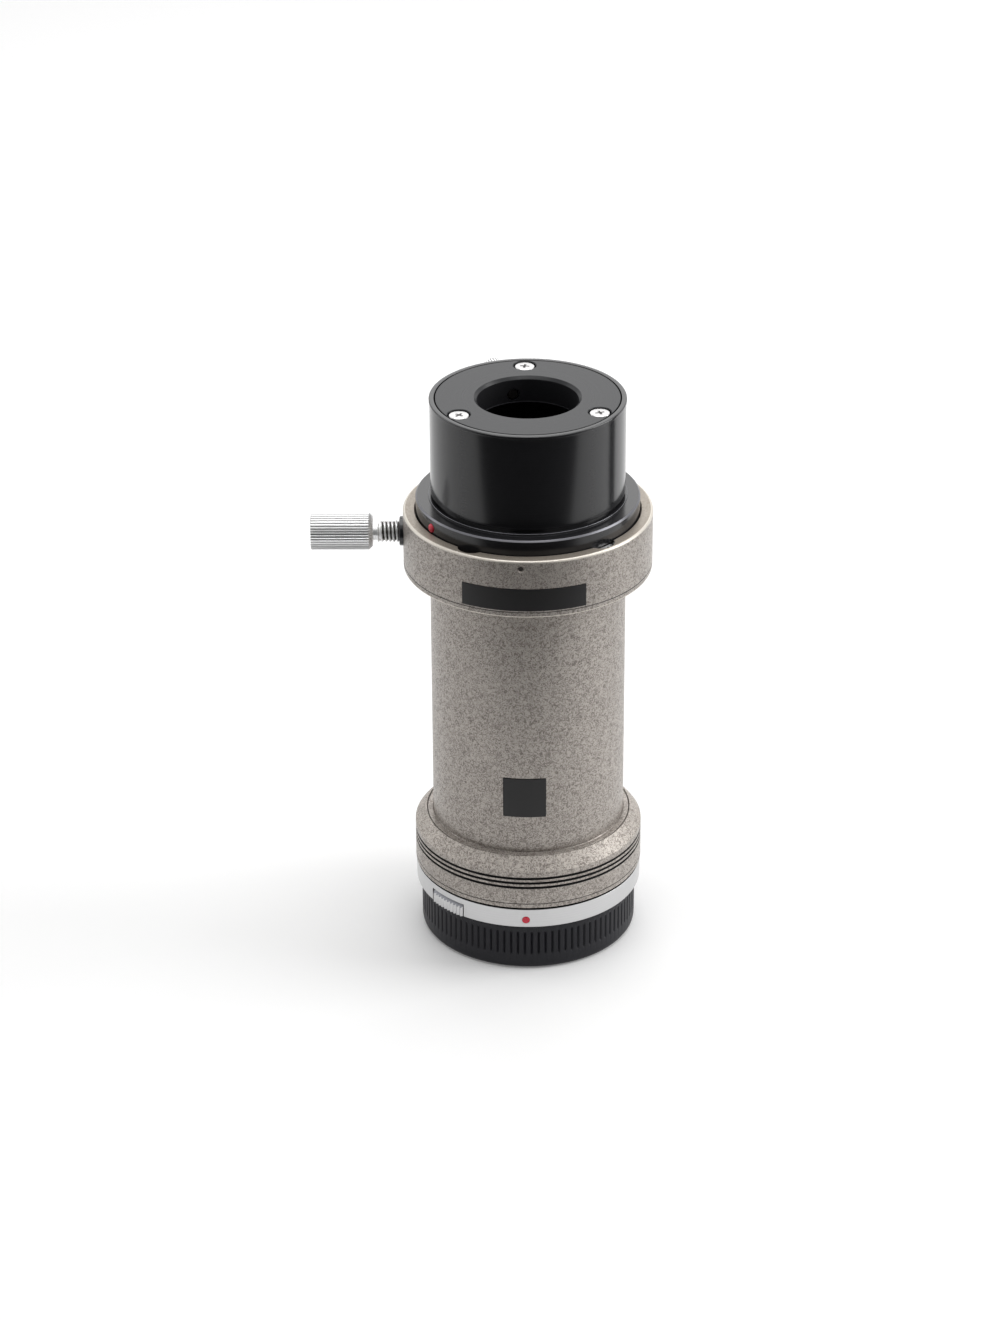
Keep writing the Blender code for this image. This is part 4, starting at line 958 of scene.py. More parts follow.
@dataclass
class CameraMount:
    """The silver ring with the release button, and the bayonet that the cap hides."""

    bore: float = 21.8
    radius: float = 29.85
    low: float = 13.7
    high: float = 18.95
    button_azimuth: float = -46.2
    button_half_width: float = 5.7
    button_height: float = 3.3
    button_out: float = 30.2
    button_depth: float = 4.6
    button_travel: float = 1.5
    bevel: Pair = (0.9, 0.8)
    # Margins of the button's top that take the painted shade, across and along, in mm
    bevel_land: float = 0.1
    shaded_rim: Pair = (0.5, 0.08)
    tooth_count: int = 10
    tooth_depth: float = 0.4
    tooth_steps: int = 8
    gap: float = 0.4
    end_gap: float = 0.3
    spring_bore: Triple = (1.5, 24.0, 29.0)
    latch_place: Pair = (23.0, -4.8)
    latch_radius: float = 1.1
    latch_top: float = 16.3
    bead: RedBead = field(default_factory=lambda: RedBead(
        "red_bead_camera", -1.2, 15.9, 29.85, Body.MAIN, "index_dot_camera"))

    def button_outline(self, out: float, half_width: float, inner: float, teeth: int) -> list[Pair]:
        """Outline the button in plan, in the ring's coordinates.

        Args:
            out: Radius of its outer arc, in mm.
            half_width: Half its width, in mm.
            inner: How far its back lies from the adapter's axis, in mm.
            teeth: Number of serrations, or 0 for a plain arc.

        Returns:
            The corners, in mm.
        """
        forward, across = direction(self.button_azimuth), direction(self.button_azimuth + 90.0)
        half = math.asin(half_width / out)
        steps = self.tooth_steps * (teeth or 3)
        corners = [forward * inner - across * half_width]
        for step in range(steps + 1):
            angle = -half + 2 * half * step / steps
            hollow = math.cos(math.pi * step / self.tooth_steps) ** 2 if teeth else 0.0
            reach = out - self.tooth_depth * hollow
            corners.append(forward * reach * math.cos(angle) + across * reach * math.sin(angle))
        corners.append(forward * inner + across * half_width)
        return [tuple(corner.to_2d()) for corner in corners]

    def build_ring(self) -> None:
        """Build the ring with the button's pocket, and dress it."""
        low, high = self.low, self.high
        ring = turned("silver_mount_ring", [(self.bore, low), (self.bore, high),
                                            (self.radius, high, 0.08), (self.radius, low, 0.2)])
        back = self.button_out - self.button_depth - self.button_travel - self.gap
        half_width = self.button_half_width + self.end_gap
        outline = self.button_outline(self.button_out + CLEAR, half_width, back, 0)
        pocket = raised("pocket", outline, low - CLEAR, low + self.button_height + self.gap)
        out, across = self.latch_place
        place = direction(self.button_azimuth) * out + direction(self.button_azimuth + 90.0) * across
        latch = drill(self.latch_radius, low - CLEAR, self.latch_top, Matrix.Translation(place * MM),
                      Facets.TINY)
        screws = BAYONET_SCREWS.drills(low - CLEAR, high + CLEAR)
        carved(ring, pocket, latch, self.bead.hole(), *screws)
        finished(ring, Body.MAIN, SATIN_ALUMINIUM, "mount_ring")
        # Painted shade: the ring's top face under the painted ring's overhang is black
        recoated(ring, BLACK_LACQUER_AND_PAINTED_SHADE, lambda radius, height, _: (
            radius < self.radius - NEAR and height > high - HAIR))

    def build_button(self) -> None:
        """Build the serrated release button, and dress it."""
        out, top = self.button_out, self.low + self.button_height
        outline = self.button_outline(out, self.button_half_width, out - self.button_depth,
                                      self.tooth_count)
        button = raised("serrated_release_button", outline, self.low, top)
        middle = self.low + self.button_height / 2
        bore = drill(*self.spring_bore, along_radius(self.button_azimuth, middle), Facets.TINY)
        deep, tall = self.bevel
        bevel = turned("bevel", [(out - deep, top), (out - self.bevel_land, top - tall),
                                 (out + CLEAR, top - tall), (out + CLEAR, top + CLEAR),
                                 (out - deep, top + CLEAR)])
        carved(button, bore, bevel)
        finished(broken_edges(button, 0.06), Body.BUTTON, SATIN_ALUMINIUM, "release_button")
        # Painted shade: the button's top under the base's overhang takes greyer, duller aluminium
        across, along = self.shaded_rim
        recoated(button, ALUMINIUM_IN_PAINTED_SHADE, lambda radius, height, _: (
            height > top - tall + along and radius > out - deep - across))

    def build(self) -> None:
        """Build and dress the whole mount."""
        self.build_ring()
        self.build_button()
        self.bead.build()
        dress_nodes(CHROMED_BRASS, "bayonet_plate")
        dress_nodes(NICKELLED_STEEL, "button_spring", "latch_pin",
                    *[f"bayonet_screw_{number}" for number in range(1, 5)])


@dataclass
class PaintedBase:
    """The thin painted ring and the coned, grooved base above it."""

    radius: float = 30.0
    lower_bore: float = 22.0
    lower: Pair = (19.1, 20.84)
    undercut: Pair = (29.1, 19.6)
    low: float = 20.9
    high: float = 33.7
    cone_low: float = 30.3
    cone_radius: float = 27.2
    seat: float = 30.2
    seat_radius: float = 26.9
    bore: float = 23.1
    tapped_to: float = 25.5
    seam: float = 0.12
    grooves: tuple[float, ...] = (28.4, 27.05, 25.7)
    groove_width: float = 0.75
    groove_floor: float = 0.4
    groove_depth: float = 0.7

    def build(self) -> None:
        """Build both rings, and dress them."""
        low, high = self.lower
        neck, lip = self.undercut
        radius = self.radius
        ring = turned("painted_lower_ring", [(self.lower_bore, low), (self.lower_bore, high),
                                             (radius, high, self.seam), (radius, lip, 0.08),
                                             (neck, lip), (neck, low)])
        carved(ring, *BAYONET_SCREWS.drills(low - CLEAR, high + CLEAR))
        finished(ring, Body.MAIN, HAMMERTONE, "lower_ring")
        # Painted shade: the undercut and the seam towards the base are black
        recoated(ring, BLACK_LACQUER_AND_PAINTED_SHADE, lambda across, height, _: (
            across < radius - SLIT and height <= lip + HAIR
            or across > radius - self.seam and height > high - self.seam))
        profile: Profile = [(self.bore, self.low), (self.bore, self.seat), (self.seat_radius, self.seat),
                            (self.seat_radius, self.high, 0.08), (self.cone_radius, self.high, 0.12),
                            (radius, self.cone_low, 0.3)]
        mouth, floor, bottom = self.groove_width / 2, self.groove_floor / 2, radius - self.groove_depth
        for height in self.grooves:
            profile += [(radius, height + mouth, 0.08), (bottom, height + floor, 0.1),
                        (bottom, height - floor, 0.1), (radius, height - mouth, 0.08)]
        profile.append((radius, self.low, 0.06))
        base = carved(turned("painted_base", profile),
                      *BAYONET_SCREWS.drills(self.low - CLEAR, self.tapped_to))
        finished(base, Body.MAIN, HAMMERTONE, "base_ring")
        # Painted light: the cone, which faces the lamps above, takes a lighter enamel
        recoated(base, CONE_ENAMEL_PAINTED_LIGHT, lambda across, height, _: (
            height > self.cone_low and across > self.cone_radius - SLIT))
        lowest, highest = self.grooves[-1] - mouth, self.grooves[0] + mouth
        recoated(base, BLACK_LACQUER_AND_PAINTED_SHADE, lambda across, height, _: (
            bottom - NEAR < across < radius - 3 * HAIR and lowest < height < highest))


@dataclass
class BarePlate:
    """A thin bare plate in a recess that follows the adapter's side."""

    name: str
    node: str
    surface: float
    azimuth: float
    half_angle: float
    low: float
    high: float
    recess: float = 0.6
    proud: float = 0.2
    gap: float = 0.06

    def pocket(self) -> Object:
        """Make the cutter for the recess."""
        margin = math.degrees(self.gap / self.surface)
        return curved_slab("recess", self.surface - self.recess, self.surface + CLEAR, self.azimuth,
                           self.half_angle + margin, self.low - self.gap, self.high + self.gap)

    def build(self) -> None:
        """Build the plate, and dress it."""
        plate = curved_slab(self.name, self.surface - self.recess + self.gap, self.surface + self.proud,
                            self.azimuth, self.half_angle, self.low, self.high)
        finished(broken_edges(plate, 0.12), Body.MAIN, BLACK_PLATE, self.node)


@dataclass
class MainTube:
    """The long painted tube, with a foot in the base and a head in the collar."""

    radius: float = 25.2
    bore: float = 21.8
    bottom: float = 22.5
    foot_low: float = 30.5
    foot_radius: float = 26.68
    relief: float = 0.2
    spigot_radius: float = 22.8
    side_low: float = 33.7
    side_high: float = 105.5
    flange_high: float = 106.94
    flange_radius: float = 32.0
    seam: float = 0.12
    edge: float = 0.35
    # Height from which the tube's side takes the darker enamel as painted shade, in mm
    shade_band_from: float = 104.7
    head_radius: float = 28.5
    tapped_from: float = 107.1
    top: float = 110.4
    plate: BarePlate = field(default_factory=lambda: BarePlate(
        "bare_lower_plate", "nameplate_lower", 25.2, -2.2, 12.7, 44.25, 55.55))

    def build(self) -> None:
        """Build the tube and its plate, and dress them."""
        bore, radius, rim, seam = self.bore, self.radius, self.flange_radius, self.seam
        low, high, flange_high, relief = self.side_low, self.side_high, self.flange_high, self.relief
        profile = [(bore, self.bottom), (bore, self.top), (self.head_radius, self.top),
                   (self.head_radius, flange_high), (rim, flange_high, seam), (rim, high, self.edge),
                   (radius, high, 0.5), (radius, self.shade_band_from), (radius, low + relief),
                   (radius - relief, low), (radius, low - relief), (radius + relief, low),
                   (self.foot_radius, low, 0.1), (self.foot_radius, self.foot_low),
                   (self.spigot_radius, self.foot_low), (self.spigot_radius, self.bottom)]
        tube = carved(turned("painted_main_tube", profile), self.plate.pocket(),
                      *COLLAR_SCREWS.drills(self.tapped_from, self.top + CLEAR))
        finished(tube, Body.MAIN, HAMMERTONE, "main_tube")
        # Painted shade: the band just under the collar and the flange's underside take the darker enamel
        recoated(tube, THIN_ENAMEL_PAINTED_SHADE, lambda across, height, _: (
            self.shade_band_from < height < flange_high and across < rim - 0.4))
        # Painted highlight: the flange's lower rounded edge takes the pale edge enamel
        recoated(tube, RUBBED_ENAMEL_AND_HIGHLIGHT, lambda across, height, _: (
            high < height < high + self.edge and across > rim - self.edge))
        # Painted shade: the seam under the collar is black
        recoated(tube, BLACK_LACQUER_AND_PAINTED_SHADE, lambda across, height, _: (
            across > rim - seam and height > flange_high - seam))
        self.plate.build()


@dataclass
class ClampCollar:
    """The painted clamp collar with its scalloped mouth, bush and set screw."""

    radius: float = 32.0
    low: float = 107.0
    high: float = 121.1
    edge: float = 0.6
    head_recess: float = 28.8
    web: float = 110.7
    bore: float = 22.6
    floor: float = 118.4
    mouth: float = 29.0
    # Azimuth, distance from the adapter's axis, radius and floor of each scallop
    scallops: tuple[tuple[float, float, float, float], ...] = (
        (-30.8, 27.3, 3.6, 118.5), (41.0, 27.5, 3.65, 120.35), (185.0, 27.3, 3.6, 118.5))
    scallop_flare: float = 0.05
    chipped_scallop: int = 1
    screw_head_hole: float = 3.0
    # Where a screw's head hole starts to narrow and stops, below the floor
    countersink: Pair = (0.5, 1.8)
    clamp_azimuth: float = -90.0
    clamp_height: float = 114.4
    clamp_from: float = 21.0
    bush_radii: Pair = (3.2, 3.8)
    bush_ends: Pair = (29.4, 32.9)
    bush_gap: Pair = (0.12, 0.3)
    set_azimuth: float = -3.3
    set_height: float = 118.9
    set_radius: float = 0.5
    set_ends: Pair = (29.3, 31.55)
    set_gap: Pair = (0.1, 0.05)
    set_slot: Pair = (0.08, 0.25)
    dimple: Pair = (0.9, 0.4)
    plate: BarePlate = field(default_factory=lambda: BarePlate(
        "bare_upper_plate", "nameplate_upper", 32.0, -2.0, 29.0, 107.4, 113.4, proud=0.18))

    def mouth_cutters(self) -> list[Object]:
        """Make the cutters for the scallops and the screws under the flange.

        Returns:
            The cutters.
        """
        cutters = []
        top, flare, under = self.high, self.scallop_flare, self.web - CLEAR
        for azimuth, circle, reach, floor in self.scallops:
            profile = [(0.0, top + CLEAR), (reach + CLEAR + 2 * flare, top + CLEAR + flare),
                       (reach, top - flare), (reach, floor), (0.0, floor)]
            cutters.append(turned("scallop", profile, Facets.LARGE, standing(azimuth, circle)))
        near, far = self.countersink
        wide, narrow = self.screw_head_hole, COLLAR_SCREWS.clearance
        profile = [(0.0, self.floor + near), (wide, self.floor + near), (wide, self.floor - near),
                   (narrow, self.floor - far), (narrow, under), (0.0, under)]
        for azimuth in COLLAR_SCREWS.azimuths:
            place = standing(azimuth, COLLAR_SCREWS.circle)
            cutters.append(turned("screw_hole", profile, Facets.SMALL, place))
        return cutters

    def side_cutters(self) -> list[Object]:
        """Make the cutters for the bush, the thumb screw and the set screw.

        Returns:
            The cutters.
        """
        far = self.radius + 2 * CLEAR
        place = along_radius(self.clamp_azimuth, self.clamp_height)
        inner, outer = self.bush_radii
        fit, under = self.bush_gap
        seat = drill(outer + fit, self.bush_ends[0] - under, far, place, Facets.LARGE)
        bore = drill(inner, self.clamp_from, far, place, Facets.LARGE)
        fit, under = self.set_gap
        wide, deep = self.dimple
        narrow, floor = self.set_radius + fit, self.set_ends[0] - under
        profile = [(0.0, self.radius + CLEAR), (wide, self.radius + CLEAR), (wide, self.radius),
                   (narrow, self.radius - deep), (narrow, floor), (0.0, floor)]
        place = along_radius(self.set_azimuth, self.set_height)
        return [seat, bore, turned("set_screw_hole", profile, Facets.SMALL, place)]

    def build_body(self) -> None:
        """Build the collar with its cuts, and dress it."""
        radius, top, edge = self.radius, self.high, self.edge
        profile = [(self.head_recess, self.low), (self.head_recess, self.web), (self.bore, self.web),
                   (self.bore, self.floor), (self.mouth, self.floor), (self.mouth, top, 0.15),
                   (radius, top, edge), (radius, self.low, 0.06)]
        collar = carved(turned("painted_clamp_collar", profile), self.plate.pocket(),
                        *self.mouth_cutters(), *self.side_cutters())
        finished(collar, Body.MAIN, HAMMERTONE, "collar")
        # Painted shade: the collar's top face and its mouth take the darker enamel
        recoated(collar, THIN_ENAMEL_PAINTED_SHADE, lambda across, height, _: (
            height > self.floor and across < radius - edge))
        # Partly wear, partly painted highlight: the collar's rounded top edge takes the pale edge enamel
        recoated(collar, RUBBED_ENAMEL_AND_HIGHLIGHT, lambda across, height, _: (
            height > top - edge and across > radius - edge))
        chipped, circle, reach, ledge = self.scallops[self.chipped_scallop]
        half = math.degrees(reach / circle)
        recoated(collar, CHIPPED_LACQUER, lambda across, height, azimuth: (
            ledge - HAIR < height < top - HAIR / 4 and abs(azimuth - chipped) < half
            and self.mouth - 5 * NEAR < across < circle + reach + NEAR))

    def build_bush(self) -> None:
        """Build the black bush that the thumb screw passes, and dress it."""
        (inner, outer), (start, end) = self.bush_radii, self.bush_ends
        profile = [(inner, start), (inner, end, 0.15), (outer, end, 0.3), (outer, start)]
        bush = turned("black_screw_bush", profile, Facets.LARGE,
                      along_radius(self.clamp_azimuth, self.clamp_height))
        finished(bush, Body.MAIN, BLACK_ANODISED, "screw_bush")

    def build_set_screw(self) -> None:
        """Build the small sunk set screw with its slot, and dress it."""
        place = along_radius(self.set_azimuth, self.set_height)
        radius, (start, end) = self.set_radius, self.set_ends
        profile = [(0.0, end), (radius, end, 0.08), (radius, start), (0.0, start)]
        screw = turned("sunk_set_screw", profile, Facets.TINY, place)
        half, deep = self.set_slot
        outline = [(-CLEAR, -half), (CLEAR, -half), (CLEAR, half), (-CLEAR, half)]
        slot = raised("slot", outline, end - deep, self.radius, place)
        finished(carved(screw, slot), Body.MAIN, BLUED_STEEL, "set_screw")

    def build(self) -> None:
        """Build and dress the whole collar."""
        self.build_body()
        self.build_bush()
        self.build_set_screw()
        self.plate.build()
        dress_nodes(NICKELLED_STEEL, *[f"collar_screw_{number}" for number in range(1, 6)])


@dataclass
class KnurledScrew:
    """A screw with a straight-knurled head, turned by hand."""

    name: str
    node: str
    body: Body
    azimuth: float
    height: float
    tip: float
    thread_radius: float
    thread_depth: float
    pitch: float
    neck_radius: float
    neck_start: float
    head_start: float
    head_end: float
    head_radius: float
    inner_chamfer: float
    outer_edge: float
    rib_count: int
    rib_depth: float
    # Where rows of corners hold the outer edge's shape, across and along
    rows: Pair = (0.8, 0.5)
    # Share of the chamfer that the ribs leave whole
    whole_share: float = 0.25
    # Shares of the thread's and the ribs' depth below which shade is painted
    root_shade_from: float = 0.6
    dull_from: float = 0.62
    lap: float = 0.2

    def build(self) -> None:
        """Build the knurled head, the neck and the thread, and dress them."""
        place = along_radius(self.azimuth, self.height)
        start, end, radius = self.head_start, self.head_end, self.head_radius
        chamfer, (across_row, along_row) = self.inner_chamfer, self.rows
        profile = [(0.0, end), (radius - across_row, end), (radius, end, self.outer_edge),
                   (radius, end - along_row), (radius, start + chamfer, 0.1),
                   (radius - chamfer, start, 0.08), (self.neck_radius, start, 0.15),
                   (self.neck_radius, self.neck_start), (0.0, self.neck_start)]
        ribs = Ribs(self.rib_count, self.rib_depth, start + self.whole_share * chamfer, end, run_out=0.0,
                    hollow=Hollow.WIDE, inner=radius - (1 - self.whole_share) * chamfer, samples=8)
        head = turned(self.name + "_head", profile, place=place, ribs=ribs)
        thread = threaded(self.name + "_thread", self.thread_radius, self.thread_depth, self.pitch,
                          self.tip, self.neck_start + self.lap, place)
        screw = finished(gathered(self.name, head, thread), self.body, SATIN_NICKEL, self.node)
        # Painted shade: the thread's root is darker
        recoated(screw, THREAD_ROOT_PAINTED_SHADE, lambda across, height, _: (
            height < self.neck_start
            and across < self.thread_radius - self.root_shade_from * self.thread_depth))
        # Painted shade: the knurl's valleys are darker
        recoated(screw, KNURL_VALLEY, lambda across, height, _: (
            start + chamfer < height < end - NEAR
            and across < radius - self.dull_from * self.rib_depth))


@dataclass
class MicroscopeMount:
    """The black flange, the sleeve and the top plate, which swivel together."""

    flange_radius: float = 28.7
    flange_low: float = 118.7
    flange_high: float = 125.1
    flange_chamfer: float = 0.4
    ridge: Pair = (25.4, 0.35)
    neck: Pair = (23.9, 126.0)
    spigot_bore: float = 19.5
    spigot_ends: Pair = (111.0, 131.0)
    spigot_radii: Pair = (22.3, 22.1)
    clamp_groove: float = 21.2
    groove_heights: tuple[float, ...] = (116.3, 115.2, 113.6, 112.5)
    sleeve_radius: float = 24.85
    sleeve_bore: float = 22.4
    sleeve_low: float = 126.3
    ledge_bore: float = 18.2
    ledge: Pair = (140.5, 144.4)
    plate_seat: float = 23.7
    rim_radius: float = 25.0
    rim_height: float = 0.8
    top: float = 151.7
    plate_radius: float = 23.4
    plate_bore: float = 12.9
    plate_low: float = 144.7
    # Height of a painted highlight at the foot of the plate's bore, in mm
    plate_highlight_band: float = 0.3
    chamfer: float = 0.75
    screw_azimuths: tuple[float, ...] = (62.2, 182.2, 302.2)
    screw_circle: float = 20.3
    screw_hole: float = 1.5
    tapped: Pair = (142.1, 145.4)
    # Radius of a screw's pocket, of its flare above the face, and the flare's and the pocket's depth
    pocket: tuple[float, float, float, float] = (2.9, 4.1, 0.2, 2.0)
    head_radius: float = 2.6
    head_top: float = 151.5
    head_height: float = 1.5
    shank: Pair = (1.2, 7.6)
    # Length and half width of the cross's arms, as shares of the head's radius, and its inner corners
    cross: Triple = (0.5, 0.12, 1.15)
    cross_depth: float = 1.0
    cross_narrowing: float = 0.6
    cross_turn: Pair = (17.0, 31.0)
    lock_azimuth: float = 196.7
    lock_height: float = 147.0
    lock_hole: float = 1.6
    lock_in_sleeve: Pair = (23.0, 26.0)
    lock_in_plate: Pair = (11.0, 24.0)
    bead: RedBead = field(default_factory=lambda: RedBead(
        "red_bead_scope", -57.8, 122.4, 28.7, Body.MOUNT, "index_dot_scope", radius=1.15, proud=0.6))

    def build_flange(self) -> None:
        """Build the flange with the spigot that the clamp holds, and dress it."""
        low, high, radius = self.flange_low, self.flange_high, self.flange_radius
        (start, end), (clamped, seated) = self.spigot_ends, self.spigot_radii
        (neck, neck_high), (ridge, rise) = self.neck, self.ridge
        bore, cut, chamfer = self.spigot_bore, self.clamp_groove, self.flange_chamfer
        first, second, third, last = self.groove_heights
        profile = [(bore, start, 0.2), (bore, end, 0.2), (seated, end, 0.2), (seated, neck_high),
                   (neck, neck_high), (neck, high + rise), (ridge, high + rise, 0.1), (ridge, high),
                   (radius - chamfer, high, 0.08), (radius, high - chamfer, 0.08), (radius, low, 0.15),
                   (clamped, low), (clamped, first), (cut, second), (cut, third), (clamped, last),
                   (clamped, start, 0.3)]
        flange = carved(turned("black_mount_flange", profile), self.bead.hole())
        finished(flange, Body.MOUNT, BLACK_ANODISED, "mount_flange")
        # Partly wear, partly painted highlight: the flange's chamfer and the ridge's edge take the grey
        # edge finish
        recoated(flange, RUBBED_ANODISED_AND_HIGHLIGHT, lambda across, height, _: (
            high - chamfer < height < high and across > radius - chamfer
            or high + 2 * NEAR < height < high + rise and across > ridge - 2 * NEAR))

    def lock_cutter(self, start: float, end: float) -> Object:
        """Make the cutter for the lock screw's hole, between two distances from the axis in mm."""
        return drill(self.lock_hole, start, end, along_radius(self.lock_azimuth, self.lock_height))

    def build_sleeve(self) -> None:
        """Build the sleeve with its rim and the ledge that carries the plate, and dress it."""
        radius, rim, top, low = self.sleeve_radius, self.rim_radius, self.top, self.sleeve_low
        bore, seat, (under, ledge) = self.sleeve_bore, self.plate_seat, self.ledge
        profile = [(bore, low), (bore, under), (self.ledge_bore, under), (self.ledge_bore, ledge),
                   (seat, ledge), (seat, top, 0.12), (rim, top, 0.28), (rim, top - self.rim_height, 0.1),
                   (radius, top - self.rim_height), (radius, low, 0.3)]
        tappings = ScrewRing(self.screw_azimuths, self.screw_circle, self.screw_hole)
        sleeve = carved(turned("black_sleeve", profile), self.lock_cutter(*self.lock_in_sleeve),
                        *tappings.drills(*self.tapped))
        finished(sleeve, Body.MOUNT, BLACK_ANODISED, "sleeve")
        # Painted shade: the sleeve's bore wall below the ledge is darker
        recoated(sleeve, BORE_ANODISED_PAINTED_SHADE, lambda across, height, _: (
            across < bore + NEAR and height < ledge - NEAR))

    def build_top_plate(self) -> None:
        """Build the top plate with its counterbores, and dress it."""
        top, bore, low, chamfer = self.top, self.plate_bore, self.plate_low, self.chamfer
        highlight_band_top = low + self.plate_highlight_band
        plate = turned("black_top_plate", [(bore, low), (bore, highlight_band_top), (bore, top - chamfer),
                                           (bore + chamfer, top, 0.06), (self.plate_radius, top, 0.15),
                                           (self.plate_radius, low)])
        wide, flared, flare, deep = self.pocket
        hole, under = self.screw_hole, low - CLEAR
        pocket = [(0.0, top + CLEAR), (flared, top + CLEAR), (wide, top - flare), (wide, top - deep),
                  (hole, top - deep), (hole, under), (0.0, under)]
        cutters = [turned("counterbore", pocket, Facets.MIDDLE, standing(azimuth, self.screw_circle))
                   for azimuth in self.screw_azimuths]
        carved(plate, self.lock_cutter(*self.lock_in_plate), *cutters)
        finished(plate, Body.MOUNT, FACED_ANODISED, "top_plate")
        # Painted shade: the plate's bore wall is darker
        recoated(plate, BORE_ANODISED_PAINTED_SHADE, lambda across, height, _: (
            across < bore + HAIR and highlight_band_top < height < top - chamfer))
        # Painted highlight: a thin band at the foot of the plate's bore takes the grey edge finish
        recoated(plate, RUBBED_ANODISED_AND_HIGHLIGHT, lambda across, height, _: (
            across < bore + HAIR and height < highlight_band_top))

    def build_screws(self) -> None:
        """Build the cross-head screws, and dress them."""
        head, top, low = self.head_radius, self.head_top, self.head_top - self.head_height
        shank, tip = self.shank[0], low - self.shank[1]
        profile = [(0.0, top), (head, top, 0.3), (head, low), (shank, low), (shank, tip, 0.2),
                   (0.0, tip)]
        arm, half = (share * head for share in self.cross[:2])
        inner = half * self.cross[2]
        outline: list[Pair] = []
        for cosine, sine in ((1, 0), (0, 1), (-1, 0), (0, -1)):
            outline += [(x * cosine - y * sine, x * sine + y * cosine)
                        for x, y in ((arm, -half), (arm, half), (inner, inner))]
        first, each = self.cross_turn
        for number, azimuth in enumerate(self.screw_azimuths, start=1):
            place = standing(azimuth, self.screw_circle)
            screw = turned(f"cross_head_screw_{number}", profile, Facets.MIDDLE, place)
            turn = Matrix.Rotation(math.radians(first + each * number), 4, "Z")
            cross = raised("cross", outline, top - self.cross_depth, top + 0.2, place @ turn,
                           self.cross_narrowing)
            finished(carved(screw, cross), Body.MOUNT, NICKELLED_STEEL, f"plate_screw_{number}")

    def build(self) -> None:
        """Build and dress the whole mount."""
        self.build_flange()
        self.bead.build()
        self.build_sleeve()
        self.build_top_plate()
        self.build_screws()
        dress_nodes(TURNED_BRASS, "clamp_pad")
        # Painted shade: the lock pad is as dark as the bore around it
        dress_nodes(BRASS_IN_PAINTED_SHADE, "lock_pad")


THUMB_SCREW = KnurledScrew(
    name="knurled_thumb_screw", node="thumb_screw", body=Body.CLAMP_SCREW, azimuth=-90.0, height=114.4,
    tip=24.5, thread_radius=2.9, thread_depth=0.6, pitch=1.0, neck_radius=2.4, neck_start=38.3,
    head_start=39.7, head_end=55.6, head_radius=4.8, inner_chamfer=1.0, outer_edge=0.3,
    rib_count=40, rib_depth=0.36)
LOCK_SCREW = KnurledScrew(
    name="knurled_lock_screw", node="lock_screw", body=Body.LOCK, azimuth=196.7, height=147.0,
    tip=14.9, thread_radius=1.5, thread_depth=0.25, pitch=0.5, neck_radius=1.3, neck_start=26.3,
    head_start=26.9, head_end=31.0, head_radius=3.1, inner_chamfer=0.4, outer_edge=0.25,
    rib_count=28, rib_depth=0.2)


